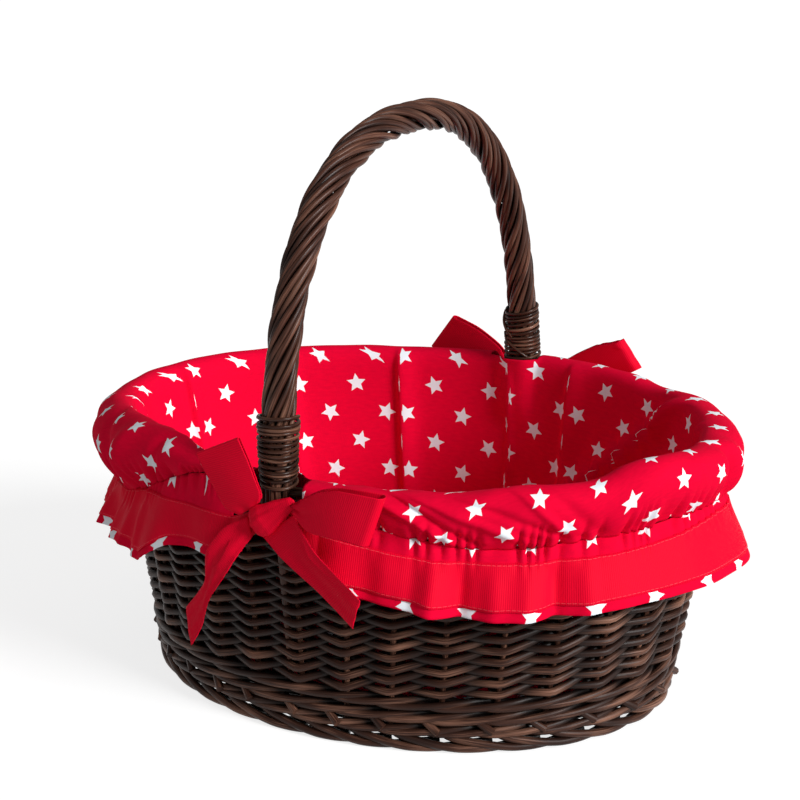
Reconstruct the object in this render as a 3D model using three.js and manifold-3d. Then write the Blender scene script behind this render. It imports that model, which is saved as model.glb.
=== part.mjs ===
// Oval willow basket with a fixed arched handle, a cloth liner, a ribbon frill and two bows.
// Millimetres, +Z up, +X along the basket's length, origin on the ground under its centre.
import * as THREE from 'three';
import Module from 'manifold-3d';
import { mergeVertices } from 'three/addons/utils/BufferGeometryUtils.js';

const wasm = await Module();
wasm.setup();

// Wall: half sizes of its middle line, at the ground and at the top of the border
const footHalfLength = 180.5;
const footHalfWidth = 143;
const rimHalfLength = 214;
const rimHalfWidth = 153.5;
const rimHeight = 170;
const wallThickness = 11;

// Heights of the bands of weave
const footHeight = 9;
const footThickness = 12;
const windowHeight = 2;
const waleHeight = 25;
const waleThickness = 12;
const waleBulge = 1.5;
const borderHeight = 13;
const borderThickness = 16;

// Stakes, spaced evenly along the wall, with a short shift that leaves room for the handle
const stakeCount = 32;
const stakeDiameter = 3.8;
const stakeShift = 3.2;

// Base: an oval of weave on sticks, the long sticks passing through slits in the cross sticks
const baseThickness = 9;
const crossStickWidth = 8;
const crossStickHeight = 6.4;
const crossStickCount = 5;
const crossStickSpacing = 26;
const longStickWidth = 7;
const longStickHeight = 3;
const longStickCount = 3;
const longStickSpacing = 12;
const stickEnd = 2;

// Handle
const handleTop = 380;
const handleSquareness = 2.4;
const handleAside = 3.6;
const handleOut = 2;
const coreDiameter = 9;
const coreRootDiameter = 7;
const coreShoulder = 1;
const ropeDiameter = 20.6;
const ropeRodCount = 12;
const ropeLay = 125;

// Windings at the handle feet
const bindingRodDiameter = 2.5;
const bindingPitch = 3.15;
const bindingTurns = 13;
const bindingRiseFront = 3;
const bindingRiseRear = 12;

// Liner
const clothThickness = 1;
const floorInset = 10;
const floorRound = 6;
const crestRise = 13;
const crestRound = 4;
const cuffReach = 17;
const cuffBulgeDrop = 17;
const cuffDrop = 29;
const linerSlitHalfWidth = 20;
const linerSlitDip = 1;
const slitMargin = 10;
const elasticDiameter = 2.4;
const elasticOverrun = 4;
const elasticSides = 5;

// Frill and ribbon
const frillDrop = 40;
const frillFlareSide = 17;
const frillFlareEnd = 26;
const frillHeader = 7.5;
const frillFoldDepth = 3.6;
const frillFoldLength = 54;
const frillPinch = 0.35;
const frillPinchLength = 35;
const frillStartShort = 34;
const frillStartLong = 50;
const ribbonWidth = 31;
const ribbonThickness = 0.6;

// Bows: height above the ground, distance off the wall, and the loops' and tails' sizes
const bowHeight = 153;
const bowOut = 21;
const bowLoopDepth = 15;
const bowLoopOut = 27;
const knotLength = 20;
const knotHeight = 20;
const knotDepth = 15;
const waistHeight = 12;
const waistDepth = 8;
const waistOverrun = 2;
const tailSlant = 9;
const tailForward = 12.5;
const longTailReach = 40;
const longTailDrop = 83;
const shortTailReach = 50;
const shortTailDrop = 49;
const frontLoopLeft = 50;
const frontLoopRight = 66;
const rearLoopLeft = 74;
const rearLoopRight = 64;
const loopStep = 2;
const tieBow = 3;

// Clearance between neighbours, and counts that only set how finely a curve is drawn
const clearance = 0.3;
const wallSteps = 48;
const handleSteps = 44;
const coreSteps = 22;
const coreSides = 8;
const bindingSteps = 12;
const bindingSides = 5;
const frillSteps = 52;
const loopSteps = 12;
const tieSteps = 4;

// Heights worked out from the bands
const waleBottom = footHeight + windowHeight;
const waleTop = waleBottom + waleHeight;
const borderBottom = rimHeight - borderHeight;
const baseBottom = waleBottom;
const baseTop = baseBottom + baseThickness;
const cuffEdgeHeight = rimHeight - cuffDrop;

// The wall: an oval that widens evenly with height
const halfLengthAt = (z) => footHalfLength + (rimHalfLength - footHalfLength) * z / rimHeight;
const halfWidthAt = (z) => footHalfWidth + (rimHalfWidth - footHalfWidth) * z / rimHeight;

function outwardAt(angle, z) {
  const outward = new THREE.Vector3(Math.cos(angle) / halfLengthAt(z), Math.sin(angle) / halfWidthAt(z), 0);
  return outward.normalize();
}

function wallPoint(angle, z, out) {
  const onWall = new THREE.Vector3(halfLengthAt(z) * Math.cos(angle), halfWidthAt(z) * Math.sin(angle), z);
  return onWall.addScaledVector(outwardAt(angle, z), out);
}

// Angles at even distances along the wall at half height, from the front centre towards +X
function evenAngles(count, shift) {
  const z = rimHeight / 2;
  const samples = 2048;
  const table = [0];
  let before = wallPoint(-Math.PI / 2, z, 0);
  for (let i = 1; i <= samples; i++) {
    const here = wallPoint(-Math.PI / 2 + 2 * Math.PI * i / samples, z, 0);
    table.push(table[i - 1] + here.distanceTo(before));
    before = here;
  }
  const girth = table[samples];
  const angles = [];
  let i = 0;
  for (let k = 0; k < count; k++) {
    const wanted = girth * k / count + shift;
    while (table[i + 1] < wanted) i++;
    const share = (wanted - table[i]) / (table[i + 1] - table[i]);
    angles.push(-Math.PI / 2 + 2 * Math.PI * (i + share) / samples);
  }
  return angles;
}

// Angle of the wall's front at distance x from its centre, at height z
const frontAngle = (x, z) => -Math.acos(Math.min(1, Math.max(-1, x / halfLengthAt(z))));

// A closed body from its points and triangles, turned inside out where its volume is negative
function body(points, triangles) {
  let volume = 0;
  for (const [a, b, c] of triangles) {
    volume += points[a].dot(new THREE.Vector3().crossVectors(points[b], points[c]));
  }
  const geometry = new THREE.BufferGeometry();
  geometry.setAttribute('position', new THREE.Float32BufferAttribute(points.flatMap((p) => p.toArray()), 3));
  geometry.setIndex(triangles.flatMap(([a, b, c]) => (volume > 0 ? [a, b, c] : [a, c, b])));
  return geometry;
}

// Skin over a row of rings of equal count; an open row is closed by a fan at each end
function loft(rings, isLoop) {
  const points = rings.flat();
  const triangles = [];
  const count = rings[0].length;
  const bands = isLoop ? rings.length : rings.length - 1;
  for (let i = 0; i < bands; i++) {
    const next = (i + 1) % rings.length;
    for (let j = 0; j < count; j++) {
      const side = (j + 1) % count;
      triangles.push([i * count + j, next * count + j, next * count + side]);
      triangles.push([i * count + j, next * count + side, i * count + side]);
    }
  }
  if (!isLoop) {
    for (const [start, flip] of [[0, false], [rings.length - 1, true]]) {
      const hub = points.length;
      const centre = new THREE.Vector3();
      rings[start].forEach((p) => centre.addScaledVector(p, 1 / count));
      points.push(centre);
      for (let j = 0; j < count; j++) {
        const a = start * count + j;
        const b = start * count + (j + 1) % count;
        triangles.push(flip ? [hub, b, a] : [hub, a, b]);
      }
    }
  }
  return body(points, triangles);
}

// Thin sheet between two grids of points, rows[i][j], with a hem round its four edges
function sheet(front, back) {
  const rowCount = front.length;
  const columnCount = front[0].length;
  const points = [...front.flat(), ...back.flat()];
  const behind = rowCount * columnCount;
  const at = (i, j) => i * columnCount + j;
  const triangles = [];
  for (let i = 0; i < rowCount - 1; i++) {
    for (let j = 0; j < columnCount - 1; j++) {
      triangles.push([at(i, j), at(i + 1, j), at(i + 1, j + 1)], [at(i, j), at(i + 1, j + 1), at(i, j + 1)]);
      triangles.push([behind + at(i, j), behind + at(i + 1, j + 1), behind + at(i + 1, j)]);
      triangles.push([behind + at(i, j), behind + at(i, j + 1), behind + at(i + 1, j + 1)]);
    }
  }
  const edge = [];
  for (let i = 0; i < rowCount - 1; i++) edge.push(at(i, 0));
  for (let j = 0; j < columnCount - 1; j++) edge.push(at(rowCount - 1, j));
  for (let i = rowCount - 1; i > 0; i--) edge.push(at(i, columnCount - 1));
  for (let j = columnCount - 1; j > 0; j--) edge.push(at(0, j));
  edge.forEach((a, k) => {
    const b = edge[(k + 1) % edge.length];
    triangles.push([a, behind + a, behind + b], [a, behind + b, b]);
  });
  return body(points, triangles);
}

// Sheet of even thickness on a grid of points of its middle
function thickSheet(middle, thickness, lift = 0) {
  const last = (list) => list.length - 1;
  const shifted = (distance) => middle.map((row, i) => row.map((p, j) => {
    const along = new THREE.Vector3().subVectors(
      middle[Math.min(i + 1, last(middle))][j], middle[Math.max(i - 1, 0)][j]);
    const across = new THREE.Vector3().subVectors(row[Math.min(j + 1, last(row))], row[Math.max(j - 1, 0)]);
    return p.clone().addScaledVector(along.cross(across).normalize(), distance);
  }));
  return sheet(shifted(lift + thickness / 2), shifted(lift - thickness / 2));
}

// Solids that can be joined and cut
function toSolid(geometry) {
  const bare = geometry.clone();
  bare.deleteAttribute('normal');
  bare.deleteAttribute('uv');
  const merged = mergeVertices(bare, 1e-5);
  return new wasm.Manifold(new wasm.Mesh({
    numProp: 3,
    vertProperties: new Float32Array(merged.attributes.position.array),
    triVerts: new Uint32Array(merged.index.array),
  }));
}

function fromSolid(solid) {
  const mesh = solid.getMesh();
  const geometry = new THREE.BufferGeometry();
  geometry.setAttribute('position', new THREE.BufferAttribute(mesh.vertProperties, 3));
  geometry.setIndex(new THREE.BufferAttribute(mesh.triVerts, 1));
  return geometry;
}

const joined = (geometries) => geometries.map(toSolid).reduce((all, one) => all.add(one));

function cut(geometry, cutters) {
  return fromSolid(cutters.map(toSolid).reduce((all, one) => all.subtract(one), toSolid(geometry)));
}

// A box between two corners
function boxBetween(low, high) {
  const size = new THREE.Vector3().subVectors(high, low);
  const centre = new THREE.Vector3().addVectors(low, high).multiplyScalar(0.5);
  return new THREE.BoxGeometry(size.x, size.y, size.z).translate(centre.x, centre.y, centre.z);
}

const ringAngles = evenAngles(wallSteps, 0);
const stakeAngles = evenAngles(stakeCount, stakeShift);

// Band of the wall with a section given as [out, height] pairs
function wallBand(section) {
  return loft(ringAngles.map((angle) => section.map(([out, z]) => wallPoint(angle, z, out))), true);
}

// Stakes, and the holes that they pass through
function stakeBody(angle, low, high, diameter) {
  const sides = 6;
  const ringAt = (z) => Array.from({ length: sides }, (_, k) => {
    const turn = 2 * Math.PI * k / sides;
    const radius = diameter / 2;
    return wallPoint(angle, z, 0).add(new THREE.Vector3(radius * Math.cos(turn), radius * Math.sin(turn), 0));
  });
  return loft([ringAt(low), ringAt(high)], false);
}

const stakeLow = footHeight + clearance;
const stakeHigh = borderBottom - clearance;
const stake = (angle) => stakeBody(angle, stakeLow, stakeHigh, stakeDiameter);
const holeDiameter = stakeDiameter + 2 * clearance / Math.cos(Math.PI / 6);
const stakeHoles = (low, high) => stakeAngles.map((angle) => (
  stakeBody(angle, low - 1, high + 1, holeDiameter)));

// Handle: its plane stands on the z axis and leans aside a little at each foot
const handleSpread = halfWidthAt(rimHeight) + handleOut;
const inHandlePlane = (y, z) => new THREE.Vector3(y * handleAside / handleSpread, y, z);
const handleCross = new THREE.Vector3(handleSpread, -handleAside, 0).normalize();

const handleCurve = new THREE.CatmullRomCurve3(Array.from({ length: 33 }, (_, k) => {
  const turn = Math.PI * k / 32;
  const power = 2 / handleSquareness;
  const reach = Math.abs(Math.cos(turn)) ** power * Math.sign(-Math.cos(turn));
  const rise = Math.max(0, Math.sin(turn)) ** power;
  return inHandlePlane(handleSpread * reach, rimHeight + (handleTop - rimHeight) * rise);
}));
handleCurve.arcLengthDivisions = 600;
const handleLength = handleCurve.getLength();

// Point on a circle round the handle's middle line, at a distance along it from the front border
function roundHandle(distance, radius, turn) {
  const u = Math.min(1, Math.max(0, distance / handleLength));
  const along = handleCurve.getTangentAt(u);
  const inPlane = new THREE.Vector3().crossVectors(handleCross, along);
  return handleCurve.getPointAt(u)
    .addScaledVector(inPlane, radius * Math.cos(turn))
    .addScaledVector(handleCross, radius * Math.sin(turn));
}

// The core: straight roots inside the siding, then the arch
const coreRing = (distance, radius) => Array.from({ length: coreSides }, (_, k) => (
  roundHandle(distance, radius, 2 * Math.PI * k / coreSides)));

function rootRing(side, z, radius) {
  const share = (z - waleTop) / (rimHeight - waleTop);
  const centre = inHandlePlane(side * (halfWidthAt(z) + handleOut * share), z);
  return Array.from({ length: coreSides }, (_, k) => {
    const turn = 2 * Math.PI * k / coreSides;
    return centre.clone()
      .addScaledVector(new THREE.Vector3(-handleCross.y, handleCross.x, 0), side * radius * Math.cos(turn))
      .addScaledVector(handleCross, radius * Math.sin(turn));
  });
}

// Distances along the part of the handle that the rope covers, clear of the border at both ends
function ropeDistances(steps) {
  return Array.from({ length: steps + 1 }, (_, k) => clearance + (handleLength - 2 * clearance) * k / steps);
}

function handleCore() {
  const rootRadius = coreRootDiameter / 2;
  const low = waleTop + clearance;
  const high = rimHeight - coreShoulder;
  const arch = ropeDistances(coreSteps).map((distance, k) => (
    coreRing(distance, k % coreSteps ? coreDiameter / 2 : rootRadius)));
  const roots = [-1, 1].map((side) => [rootRing(side, low, rootRadius), rootRing(side, high, rootRadius)]);
  return loft([...roots[0], ...arch, ...roots[1].reverse()], false);
}

// The twisted rods round the core, with the core's bore through them
function handleRope() {
  const skin = ropeDistances(handleSteps).map((distance) => Array.from({ length: ropeRodCount }, (_, j) => (
    roundHandle(distance, ropeDiameter / 2, 2 * Math.PI * (j / ropeRodCount + distance / ropeLay)))));
  const boreRadius = coreDiameter / 2 + clearance / Math.cos(Math.PI / coreSides);
  const bore = ropeDistances(coreSteps).map((distance) => coreRing(distance, boreRadius));
  const lower = (ring) => ring.map((p) => p.clone().add(new THREE.Vector3(0, 0, -1)));
  const borer = [lower(bore[0]), ...bore, lower(bore[coreSteps])];
  return cut(loft(skin, false), [loft(borer, false)]);
}

// A winding: one unbroken rod in a helix round the rope
function bindingPath(firstDistance) {
  const radius = ropeDiameter / 2 + clearance + bindingRodDiameter / 2;
  return Array.from({ length: bindingTurns * bindingSteps + 1 }, (_, k) => {
    const turns = k / bindingSteps;
    const turn = 2 * Math.PI * turns;
    const distance = firstDistance + bindingPitch * turns;
    return { point: roundHandle(distance, radius, turn), inner: roundHandle(distance, 0, turn) };
  });
}

function winding(path, diameter, sides) {
  const rings = path.map(({ point, inner }, k) => {
    const before = path[Math.max(0, k - 1)].point;
    const after = path[Math.min(path.length - 1, k + 1)].point;
    const along = new THREE.Vector3().subVectors(after, before).normalize();
    const away = new THREE.Vector3().subVectors(point, inner).normalize();
    const aside = new THREE.Vector3().crossVectors(along, away).normalize();
    return Array.from({ length: sides }, (_, j) => {
      const turn = 2 * Math.PI * j / sides;
      return point.clone()
        .addScaledVector(away, diameter / 2 * Math.cos(turn))
        .addScaledVector(aside, diameter / 2 * Math.sin(turn));
    });
  });
  return loft(rings, false);
}

// Least gap between points that lie half a turn or more apart along a winding
function leastGap(path, diameter) {
  let least = Infinity;
  for (let a = 0; a < path.length; a++) {
    for (let b = a + Math.ceil(bindingSteps / 2); b < path.length; b++) {
      least = Math.min(least, path[a].point.distanceTo(path[b].point));
    }
  }
  return least - diameter;
}

// Base sticks and the weave round them
const baseMiddle = (baseBottom + baseTop) / 2;
const baseEdgeOut = -waleThickness / 2 - clearance;
const baseReachX = (y) => (halfLengthAt(baseBottom) + baseEdgeOut)
  * Math.sqrt(1 - (y / (halfWidthAt(baseBottom) + baseEdgeOut)) ** 2);
const baseReachY = (x) => (halfWidthAt(baseBottom) + baseEdgeOut)
  * Math.sqrt(1 - (x / (halfLengthAt(baseBottom) + baseEdgeOut)) ** 2);
const centred = (count, spacing) => Array.from({ length: count }, (_, k) => (k - (count - 1) / 2) * spacing);
const crossStickPlaces = centred(crossStickCount, crossStickSpacing);
const longStickPlaces = centred(longStickCount, longStickSpacing);

function stickBox(centreX, centreY, sizeX, sizeY, height) {
  return new THREE.BoxGeometry(sizeX, sizeY, height).translate(centreX, centreY, baseMiddle);
}

const longStick = (y) => stickBox(0, y, 2 * (baseReachX(y) - stickEnd), longStickWidth, longStickHeight);

function crossStick(x) {
  const blank = stickBox(x, 0, crossStickWidth, 2 * (baseReachY(x) - stickEnd), crossStickHeight);
  const slitLength = (longStickCount - 1) * longStickSpacing + longStickWidth + 2 * clearance;
  return cut(blank, [stickBox(x, 0, 2 * crossStickWidth, slitLength, longStickHeight + 2 * clearance)]);
}

function baseWeave() {
  const ringAt = (z) => ringAngles.map((angle) => wallPoint(angle, z, baseEdgeOut));
  const plate = loft([ringAt(baseBottom), ringAt(baseTop)], false);
  const tunnels = [
    ...longStickPlaces.map((y) => stickBox(0, y, 2 * (baseReachX(y) + stickEnd),
      longStickWidth + 2 * clearance, longStickHeight + 2 * clearance)),
    ...crossStickPlaces.map((x) => stickBox(x, 0, crossStickWidth + 2 * clearance,
      2 * (baseReachY(x) + stickEnd), crossStickHeight + 2 * clearance)),
  ];
  return cut(plate, tunnels);
}

// Bands of the wall
function footBorder() {
  const half = footThickness / 2;
  const chamfer = footHeight / 4;
  return wallBand([
    [half - chamfer, 0], [half, chamfer], [half, footHeight - chamfer],
    [half - chamfer, footHeight], [-half, footHeight - chamfer], [chamfer - half, 0],
  ]);
}

function bottomWale() {
  const half = waleThickness / 2;
  const band = wallBand([
    [-half, waleBottom], [half, waleBottom], [half + waleBulge, (waleBottom + waleTop) / 2],
    [wallThickness / 2, waleTop], [-half, waleTop],
  ]);
  return cut(band, stakeHoles(waleBottom, waleTop));
}

const coreHole = (side) => {
  const radius = coreRootDiameter / 2 + clearance / Math.cos(Math.PI / coreSides);
  return loft([rootRing(side, waleTop - 1, radius), rootRing(side, rimHeight + 1, radius)], false);
};

function sideWeave() {
  const half = wallThickness / 2;
  const low = waleTop + clearance;
  const high = borderBottom - clearance;
  const band = wallBand([[-half, low], [half, low], [half, high], [-half, high]]);
  return cut(band, [...stakeHoles(low, high), coreHole(-1), coreHole(1)]);
}

function topBorder() {
  const half = borderThickness / 2;
  const chamfer = borderHeight / 4;
  const band = wallBand([
    [chamfer - half, borderBottom], [half - chamfer, borderBottom], [half, borderBottom + chamfer],
    [half, rimHeight - chamfer], [half - chamfer, rimHeight], [chamfer - half, rimHeight],
    [-half, rimHeight - chamfer], [-half, borderBottom + chamfer],
  ]);
  return cut(band, [coreHole(-1), coreHole(1)]);
}

// Liner: floor, inner wall, crest over the border, and the cuff down to its elastic edge
const clothOff = clearance + clothThickness / 2;
const linerFloor = baseTop + clothOff;
const cuffEdgeOut = wallThickness / 2 + elasticDiameter + 2 * clearance + clothThickness / 2;
const linerInside = -borderThickness / 2 - clothOff;

function linerProfile() {
  const crest = rimHeight + crestRise;
  const bulge = crest - cuffBulgeDrop;
  return [
    [-waleThickness / 2 - floorInset, linerFloor],
    [-waleThickness / 2 - clothOff, linerFloor + floorRound],
    [linerInside, rimHeight],
    [linerInside + crestRound / 2, crest - crestRound],
    [0, crest],
    [0.6 * cuffReach, crest - crestRound],
    [cuffReach, bulge],
    [cuffReach - (cuffReach - cuffEdgeOut) / 3, (bulge + cuffEdgeHeight) / 2],
    [cuffEdgeOut, cuffEdgeHeight],
  ];
}

function liner() {
  const profile = linerProfile().map(([out, z]) => new THREE.Vector2(out, z));
  const skin = (side) => profile.map((p, i) => {
    const along = new THREE.Vector2().subVectors(
      profile[Math.min(i + 1, profile.length - 1)], profile[Math.max(i - 1, 0)]).normalize();
    const away = new THREE.Vector2(along.y, -along.x).multiplyScalar(side * clothThickness / 2);
    const off = i === 0 ? new THREE.Vector2(0, -side * clothThickness / 2) : away;
    return ringAngles.map((angle) => wallPoint(angle, p.y + off.y, p.x + off.x));
  });
  const shell = loft([...skin(-1), ...skin(1).reverse()], false);
  const top = rimHeight + crestRise + slitMargin;
  const across = (side, inner, low) => {
    const far = side * (halfWidthAt(rimHeight) + cuffReach + slitMargin);
    const near = side * (halfWidthAt(rimHeight) + inner);
    return boxBetween(
      new THREE.Vector3(-linerSlitHalfWidth, Math.min(far, near), low),
      new THREE.Vector3(linerSlitHalfWidth, Math.max(far, near), top));
  };
  const slits = [-1, 1].flatMap((side) => [
    across(side, 0, cuffEdgeHeight - slitMargin),
    across(side, linerInside - slitMargin, rimHeight - linerSlitDip),
  ]);
  return cut(shell, slits);
}

// Stations of the wall between two distances from the centre, round one end of the basket
function sideAngles(end, steps, fromFront, fromRear, z) {
  const start = frontAngle(end * fromFront, z);
  const rear = Math.acos(end * fromRear / halfLengthAt(z));
  const stop = end > 0 ? rear : rear - 2 * Math.PI;
  return Array.from({ length: steps + 1 }, (_, k) => start + (stop - start) * k / steps);
}

// Elastic: follows the same stations as the liner, between the slits
function elastic(end) {
  const z = cuffEdgeHeight + elasticDiameter / 2;
  const out = wallThickness / 2 + clearance + elasticDiameter / 2;
  const inReach = ringAngles.filter((angle) => (
    end * halfLengthAt(z) * Math.cos(angle) > linerSlitHalfWidth - elasticOverrun));
  const unwound = (angle) => (end < 0 && angle > Math.PI / 2 ? angle - 2 * Math.PI : angle);
  const angles = inReach.map(unwound).sort((a, b) => a - b);
  return loft(angles.map((angle) => Array.from({ length: elasticSides }, (_, k) => {
    const turn = 2 * Math.PI * k / elasticSides;
    const radius = elasticDiameter / 2;
    return wallPoint(angle, z + radius * Math.sin(turn), out + radius * Math.cos(turn));
  })), false);
}

// Frill: hangs from the cuff's edge in soft folds that grow towards its hem
const frillTop = cuffEdgeHeight - clearance - clothThickness / 2;
const frillSlant = Math.hypot(frillDrop, frillFlareSide);

function frillPoint(angle, distance, toEnd, drop) {
  const flare = frillFlareSide + (frillFlareEnd - frillFlareSide) * Math.cos(angle) ** 2;
  const pinch = 1 - frillPinch * Math.exp(-((toEnd / frillPinchLength) ** 2));
  const share = pinch * drop / frillSlant;
  const fold = frillFoldDepth * share * Math.sin(2 * Math.PI * distance / frillFoldLength);
  return wallPoint(angle, frillTop - frillDrop * share, cuffEdgeOut + flare * share + fold);
}

function frillGrid(end, drops) {
  const fromFront = end > 0 ? frillStartShort : frillStartLong;
  const fromRear = end > 0 ? frillStartLong : frillStartShort;
  const angles = sideAngles(end, frillSteps, fromFront, fromRear, frillTop - frillDrop / 2);
  let distance = 0;
  let before = null;
  const stations = angles.map((angle) => {
    const here = wallPoint(angle, frillTop, 0);
    if (before) distance += here.distanceTo(before);
    before = here;
    return { angle, fromStart: distance };
  });
  return stations.map(({ angle, fromStart }) => {
    const fromShortEnd = end > 0 ? fromStart : distance - fromStart;
    const toEnd = Math.min(fromStart, distance - fromStart);
    return drops.map((drop) => frillPoint(angle, fromShortEnd, toEnd, drop));
  });
}

const frillRows = [0, frillHeader, frillHeader + ribbonWidth, frillSlant];
const frill = (end) => thickSheet(frillGrid(end, frillRows), clothThickness);

// Bow pieces are drawn as seen from outside: x to the right, z up, out away from the wall
const onFrontPlane = (x, z, out) => new THREE.Vector3(x, -(halfWidthAt(bowHeight) + out), z);

// Ribbon: lies on the frill, and at both ends runs on, gathered, to the waist of the bow
const ribbonLift = clothThickness / 2 + clearance + ribbonThickness / 2;

function ribbonTie(edge, end, tilt) {
  const middle = bowHeight + end * (waistEnd + 2 * clearance) * Math.sin(tilt);
  const goal = [0.5, -0.5].map((edge) => onFrontPlane(end * (waistEnd + 2 * clearance),
    middle + edge * gatheredWidth, bowOut - waistDepth / 2 - ribbonLift));
  return Array.from({ length: tieSteps }, (_, k) => {
    const share = (k + 1) / tieSteps;
    const forward = new THREE.Vector3(0, -tieBow * Math.sin(Math.PI * share), 0);
    return edge.map((p, j) => p.clone().lerp(goal[j], share).add(forward));
  });
}

function ribbonOnFrill(end) {
  const onFrill = frillGrid(end, frillRows.slice(1, 3));
  const halfTurn = (rows) => rows.map((row) => row.map((p) => new THREE.Vector3(-p.x, -p.y, p.z)));
  const atFront = ribbonTie(onFrill[0], end, frontBow.tilt).reverse();
  const atRear = halfTurn(ribbonTie(halfTurn(onFrill.slice(-1))[0], -end, rearBow.tilt));
  return thickSheet([...atFront, ...onFrill, ...atRear], ribbonThickness, -end * ribbonLift);
}

// Ribbon gathered at the waist, and the depths at which its layers and tails leave the waist
const gatheredWidth = 0.8 * waistHeight;
const laneBack = -0.15 * waistDepth;
const laneFront = 0.3 * waistDepth;
const laneTail = -0.35 * waistDepth;
const leave = knotLength / 2 + gatheredWidth / 2 + 3 * clearance;
const waistEnd = leave + waistOverrun;

// Loop of ribbon: leaves the waist behind, runs out, folds and comes back in front.
// The turn stops short of a full circle, so that the two ends of the loop stay apart at the waist.
const loopShortOfRound = 0.04;
const archPeak = 0.77;

function bowLoop({ length, slope, start }) {
  const dir = new THREE.Vector2(Math.cos(slope), Math.sin(slope));
  const side = new THREE.Vector2(-dir.y, dir.x);
  const rows = Array.from({ length: loopSteps + 1 }, (_, k) => {
    const turn = 2 * Math.PI * (loopShortOfRound + (1 - 2 * loopShortOfRound) * k / loopSteps);
    const reach = length * (1 - Math.cos(turn)) / 2;
    const arch = Math.sin(turn) * Math.abs(Math.sin(turn / 2)) / archPeak;
    const opened = Math.min(1, reach / (0.45 * length));
    const eased = opened * opened * (3 - 2 * opened);
    const half = (gatheredWidth + (ribbonWidth - gatheredWidth) * eased) / 2;
    const lane = bowOut + (2 * k < loopSteps ? laneBack : laneFront);
    const out = lane + (bowLoopOut - bowLoopDepth / 2 * arch - lane) * eased;
    return [-half, half].map((offset) => onFrontPlane(
      start.x + dir.x * reach + side.x * offset, start.y + dir.y * reach + side.y * offset, out));
  });
  return thickSheet(rows, ribbonThickness);
}

// Tail of ribbon: hangs from the waist over the frill, its end cut on the slant
function bowTail({ end, reach, drop, slant, points }) {
  const last = points.length - 1;
  const places = points.map(([aside, fall]) => (
    new THREE.Vector2(end * (leave + aside * reach), bowHeight - fall * drop)));
  const rows = points.map(([, , forward, width], k) => {
    const dir = places[Math.min(last, k + 1)].clone().sub(places[Math.max(0, k - 1)]).normalize();
    const side = new THREE.Vector2(-dir.y, dir.x).multiplyScalar(width * ribbonWidth / 2);
    const cornerShift = k === last ? slant : 0;
    return [-1, 1].map((edge) => {
      const place = places[k].clone().addScaledVector(side, edge).addScaledVector(dir, cornerShift * edge);
      return onFrontPlane(place.x, place.y, bowOut + forward);
    });
  });
  return thickSheet(rows, ribbonThickness);
}

// Waist and knot: a short bar of gathered ribbon, and the ribbon wrapped round it
function barRing(along, halfHeight, halfDepth, tilt) {
  const sides = 10;
  return Array.from({ length: sides }, (_, k) => {
    const turn = 2 * Math.PI * (k + 0.5) / sides;
    const up = halfHeight * Math.sin(turn);
    return onFrontPlane(
      along * Math.cos(tilt) - up * Math.sin(tilt),
      bowHeight + along * Math.sin(tilt) + up * Math.cos(tilt),
      bowOut + halfDepth * Math.cos(turn));
  });
}

const waist = (tilt) => loft([-1, 1].map((end) => (
  barRing(end * waistEnd, waistHeight / 2, waistDepth / 2, tilt))), false);

function knot(tilt) {
  const skin = [[-1, 0.78], [-0.45, 1], [0.45, 1], [1, 0.78]].map(([place, share]) => barRing(
    place * knotLength / 2, share * knotHeight / 2, share * knotDepth / 2, tilt));
  const hole = [1, -1].map((end) => barRing(
    end * knotLength / 2, waistHeight / 2 + 2 * clearance, waistDepth / 2 + 2 * clearance, tilt));
  return loft([...skin, ...hole], true);
}

const bow = ({ tilt, loops, tails }) => fromSolid(
  joined([waist(tilt), ...loops.map(bowLoop), ...tails.map(bowTail)]));

// Tail points: [share of its reach, share of its drop, distance in front of the waist, share of the ribbon's width]
const longTail = {
  end: -1,
  reach: longTailReach,
  drop: longTailDrop,
  slant: tailSlant,
  points: [[0, 0.04, laneTail, 0.25], [0.2, 0.17, tailForward / 4, 0.6], [0.6, 0.47, tailForward * 0.8, 0.85],
    [0.85, 0.76, tailForward, 0.7], [1, 1, tailForward, 0.65]],
};
const shortTail = {
  end: 1,
  reach: shortTailReach,
  drop: shortTailDrop,
  slant: -tailSlant,
  points: [[0, 0, laneTail, 0.25], [0.2, 0.28, tailForward / 4, 0.6], [0.54, 0.6, tailForward * 0.75, 0.85],
    [1, 1, tailForward * 0.9, 0.85]],
};
const tails = [longTail, shortTail];

// The loops' slopes are measured from the x axis; each loop starts a little above or below the waist's middle
const frontBow = {
  tilt: 0.2,
  loops: [
    { length: frontLoopLeft, slope: 1.92, start: new THREE.Vector2(-leave, bowHeight - loopStep) },
    { length: frontLoopRight, slope: 0.12, start: new THREE.Vector2(leave, bowHeight + loopStep) },
  ],
  tails,
};
const rearBow = {
  tilt: 0.1,
  loops: [
    { length: rearLoopLeft, slope: 2.7, start: new THREE.Vector2(-leave, bowHeight - loopStep / 2) },
    { length: rearLoopRight, slope: 0.5, start: new THREE.Vector2(leave, bowHeight + loopStep / 2) },
  ],
  tails,
};

// Colours
const willowDark = { color: '#3f2a24', roughness: 0.55, metalness: 0 };
const willowRod = { color: '#4a3029', roughness: 0.5, metalness: 0 };
const willowThin = { color: '#3a2520', roughness: 0.5, metalness: 0 };
const starCloth = { color: '#c8002d', roughness: 0.9, metalness: 0 };
const grosgrain = { color: '#e01838', roughness: 0.7, metalness: 0 };
const elasticWhite = { color: '#e8e4dc', roughness: 0.9, metalness: 0 };

const group = new THREE.Group();

function add(name, geometry, look) {
  const mesh = new THREE.Mesh(geometry, new THREE.MeshStandardMaterial(look));
  mesh.name = name;
  group.add(mesh);
  return mesh;
}

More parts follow.
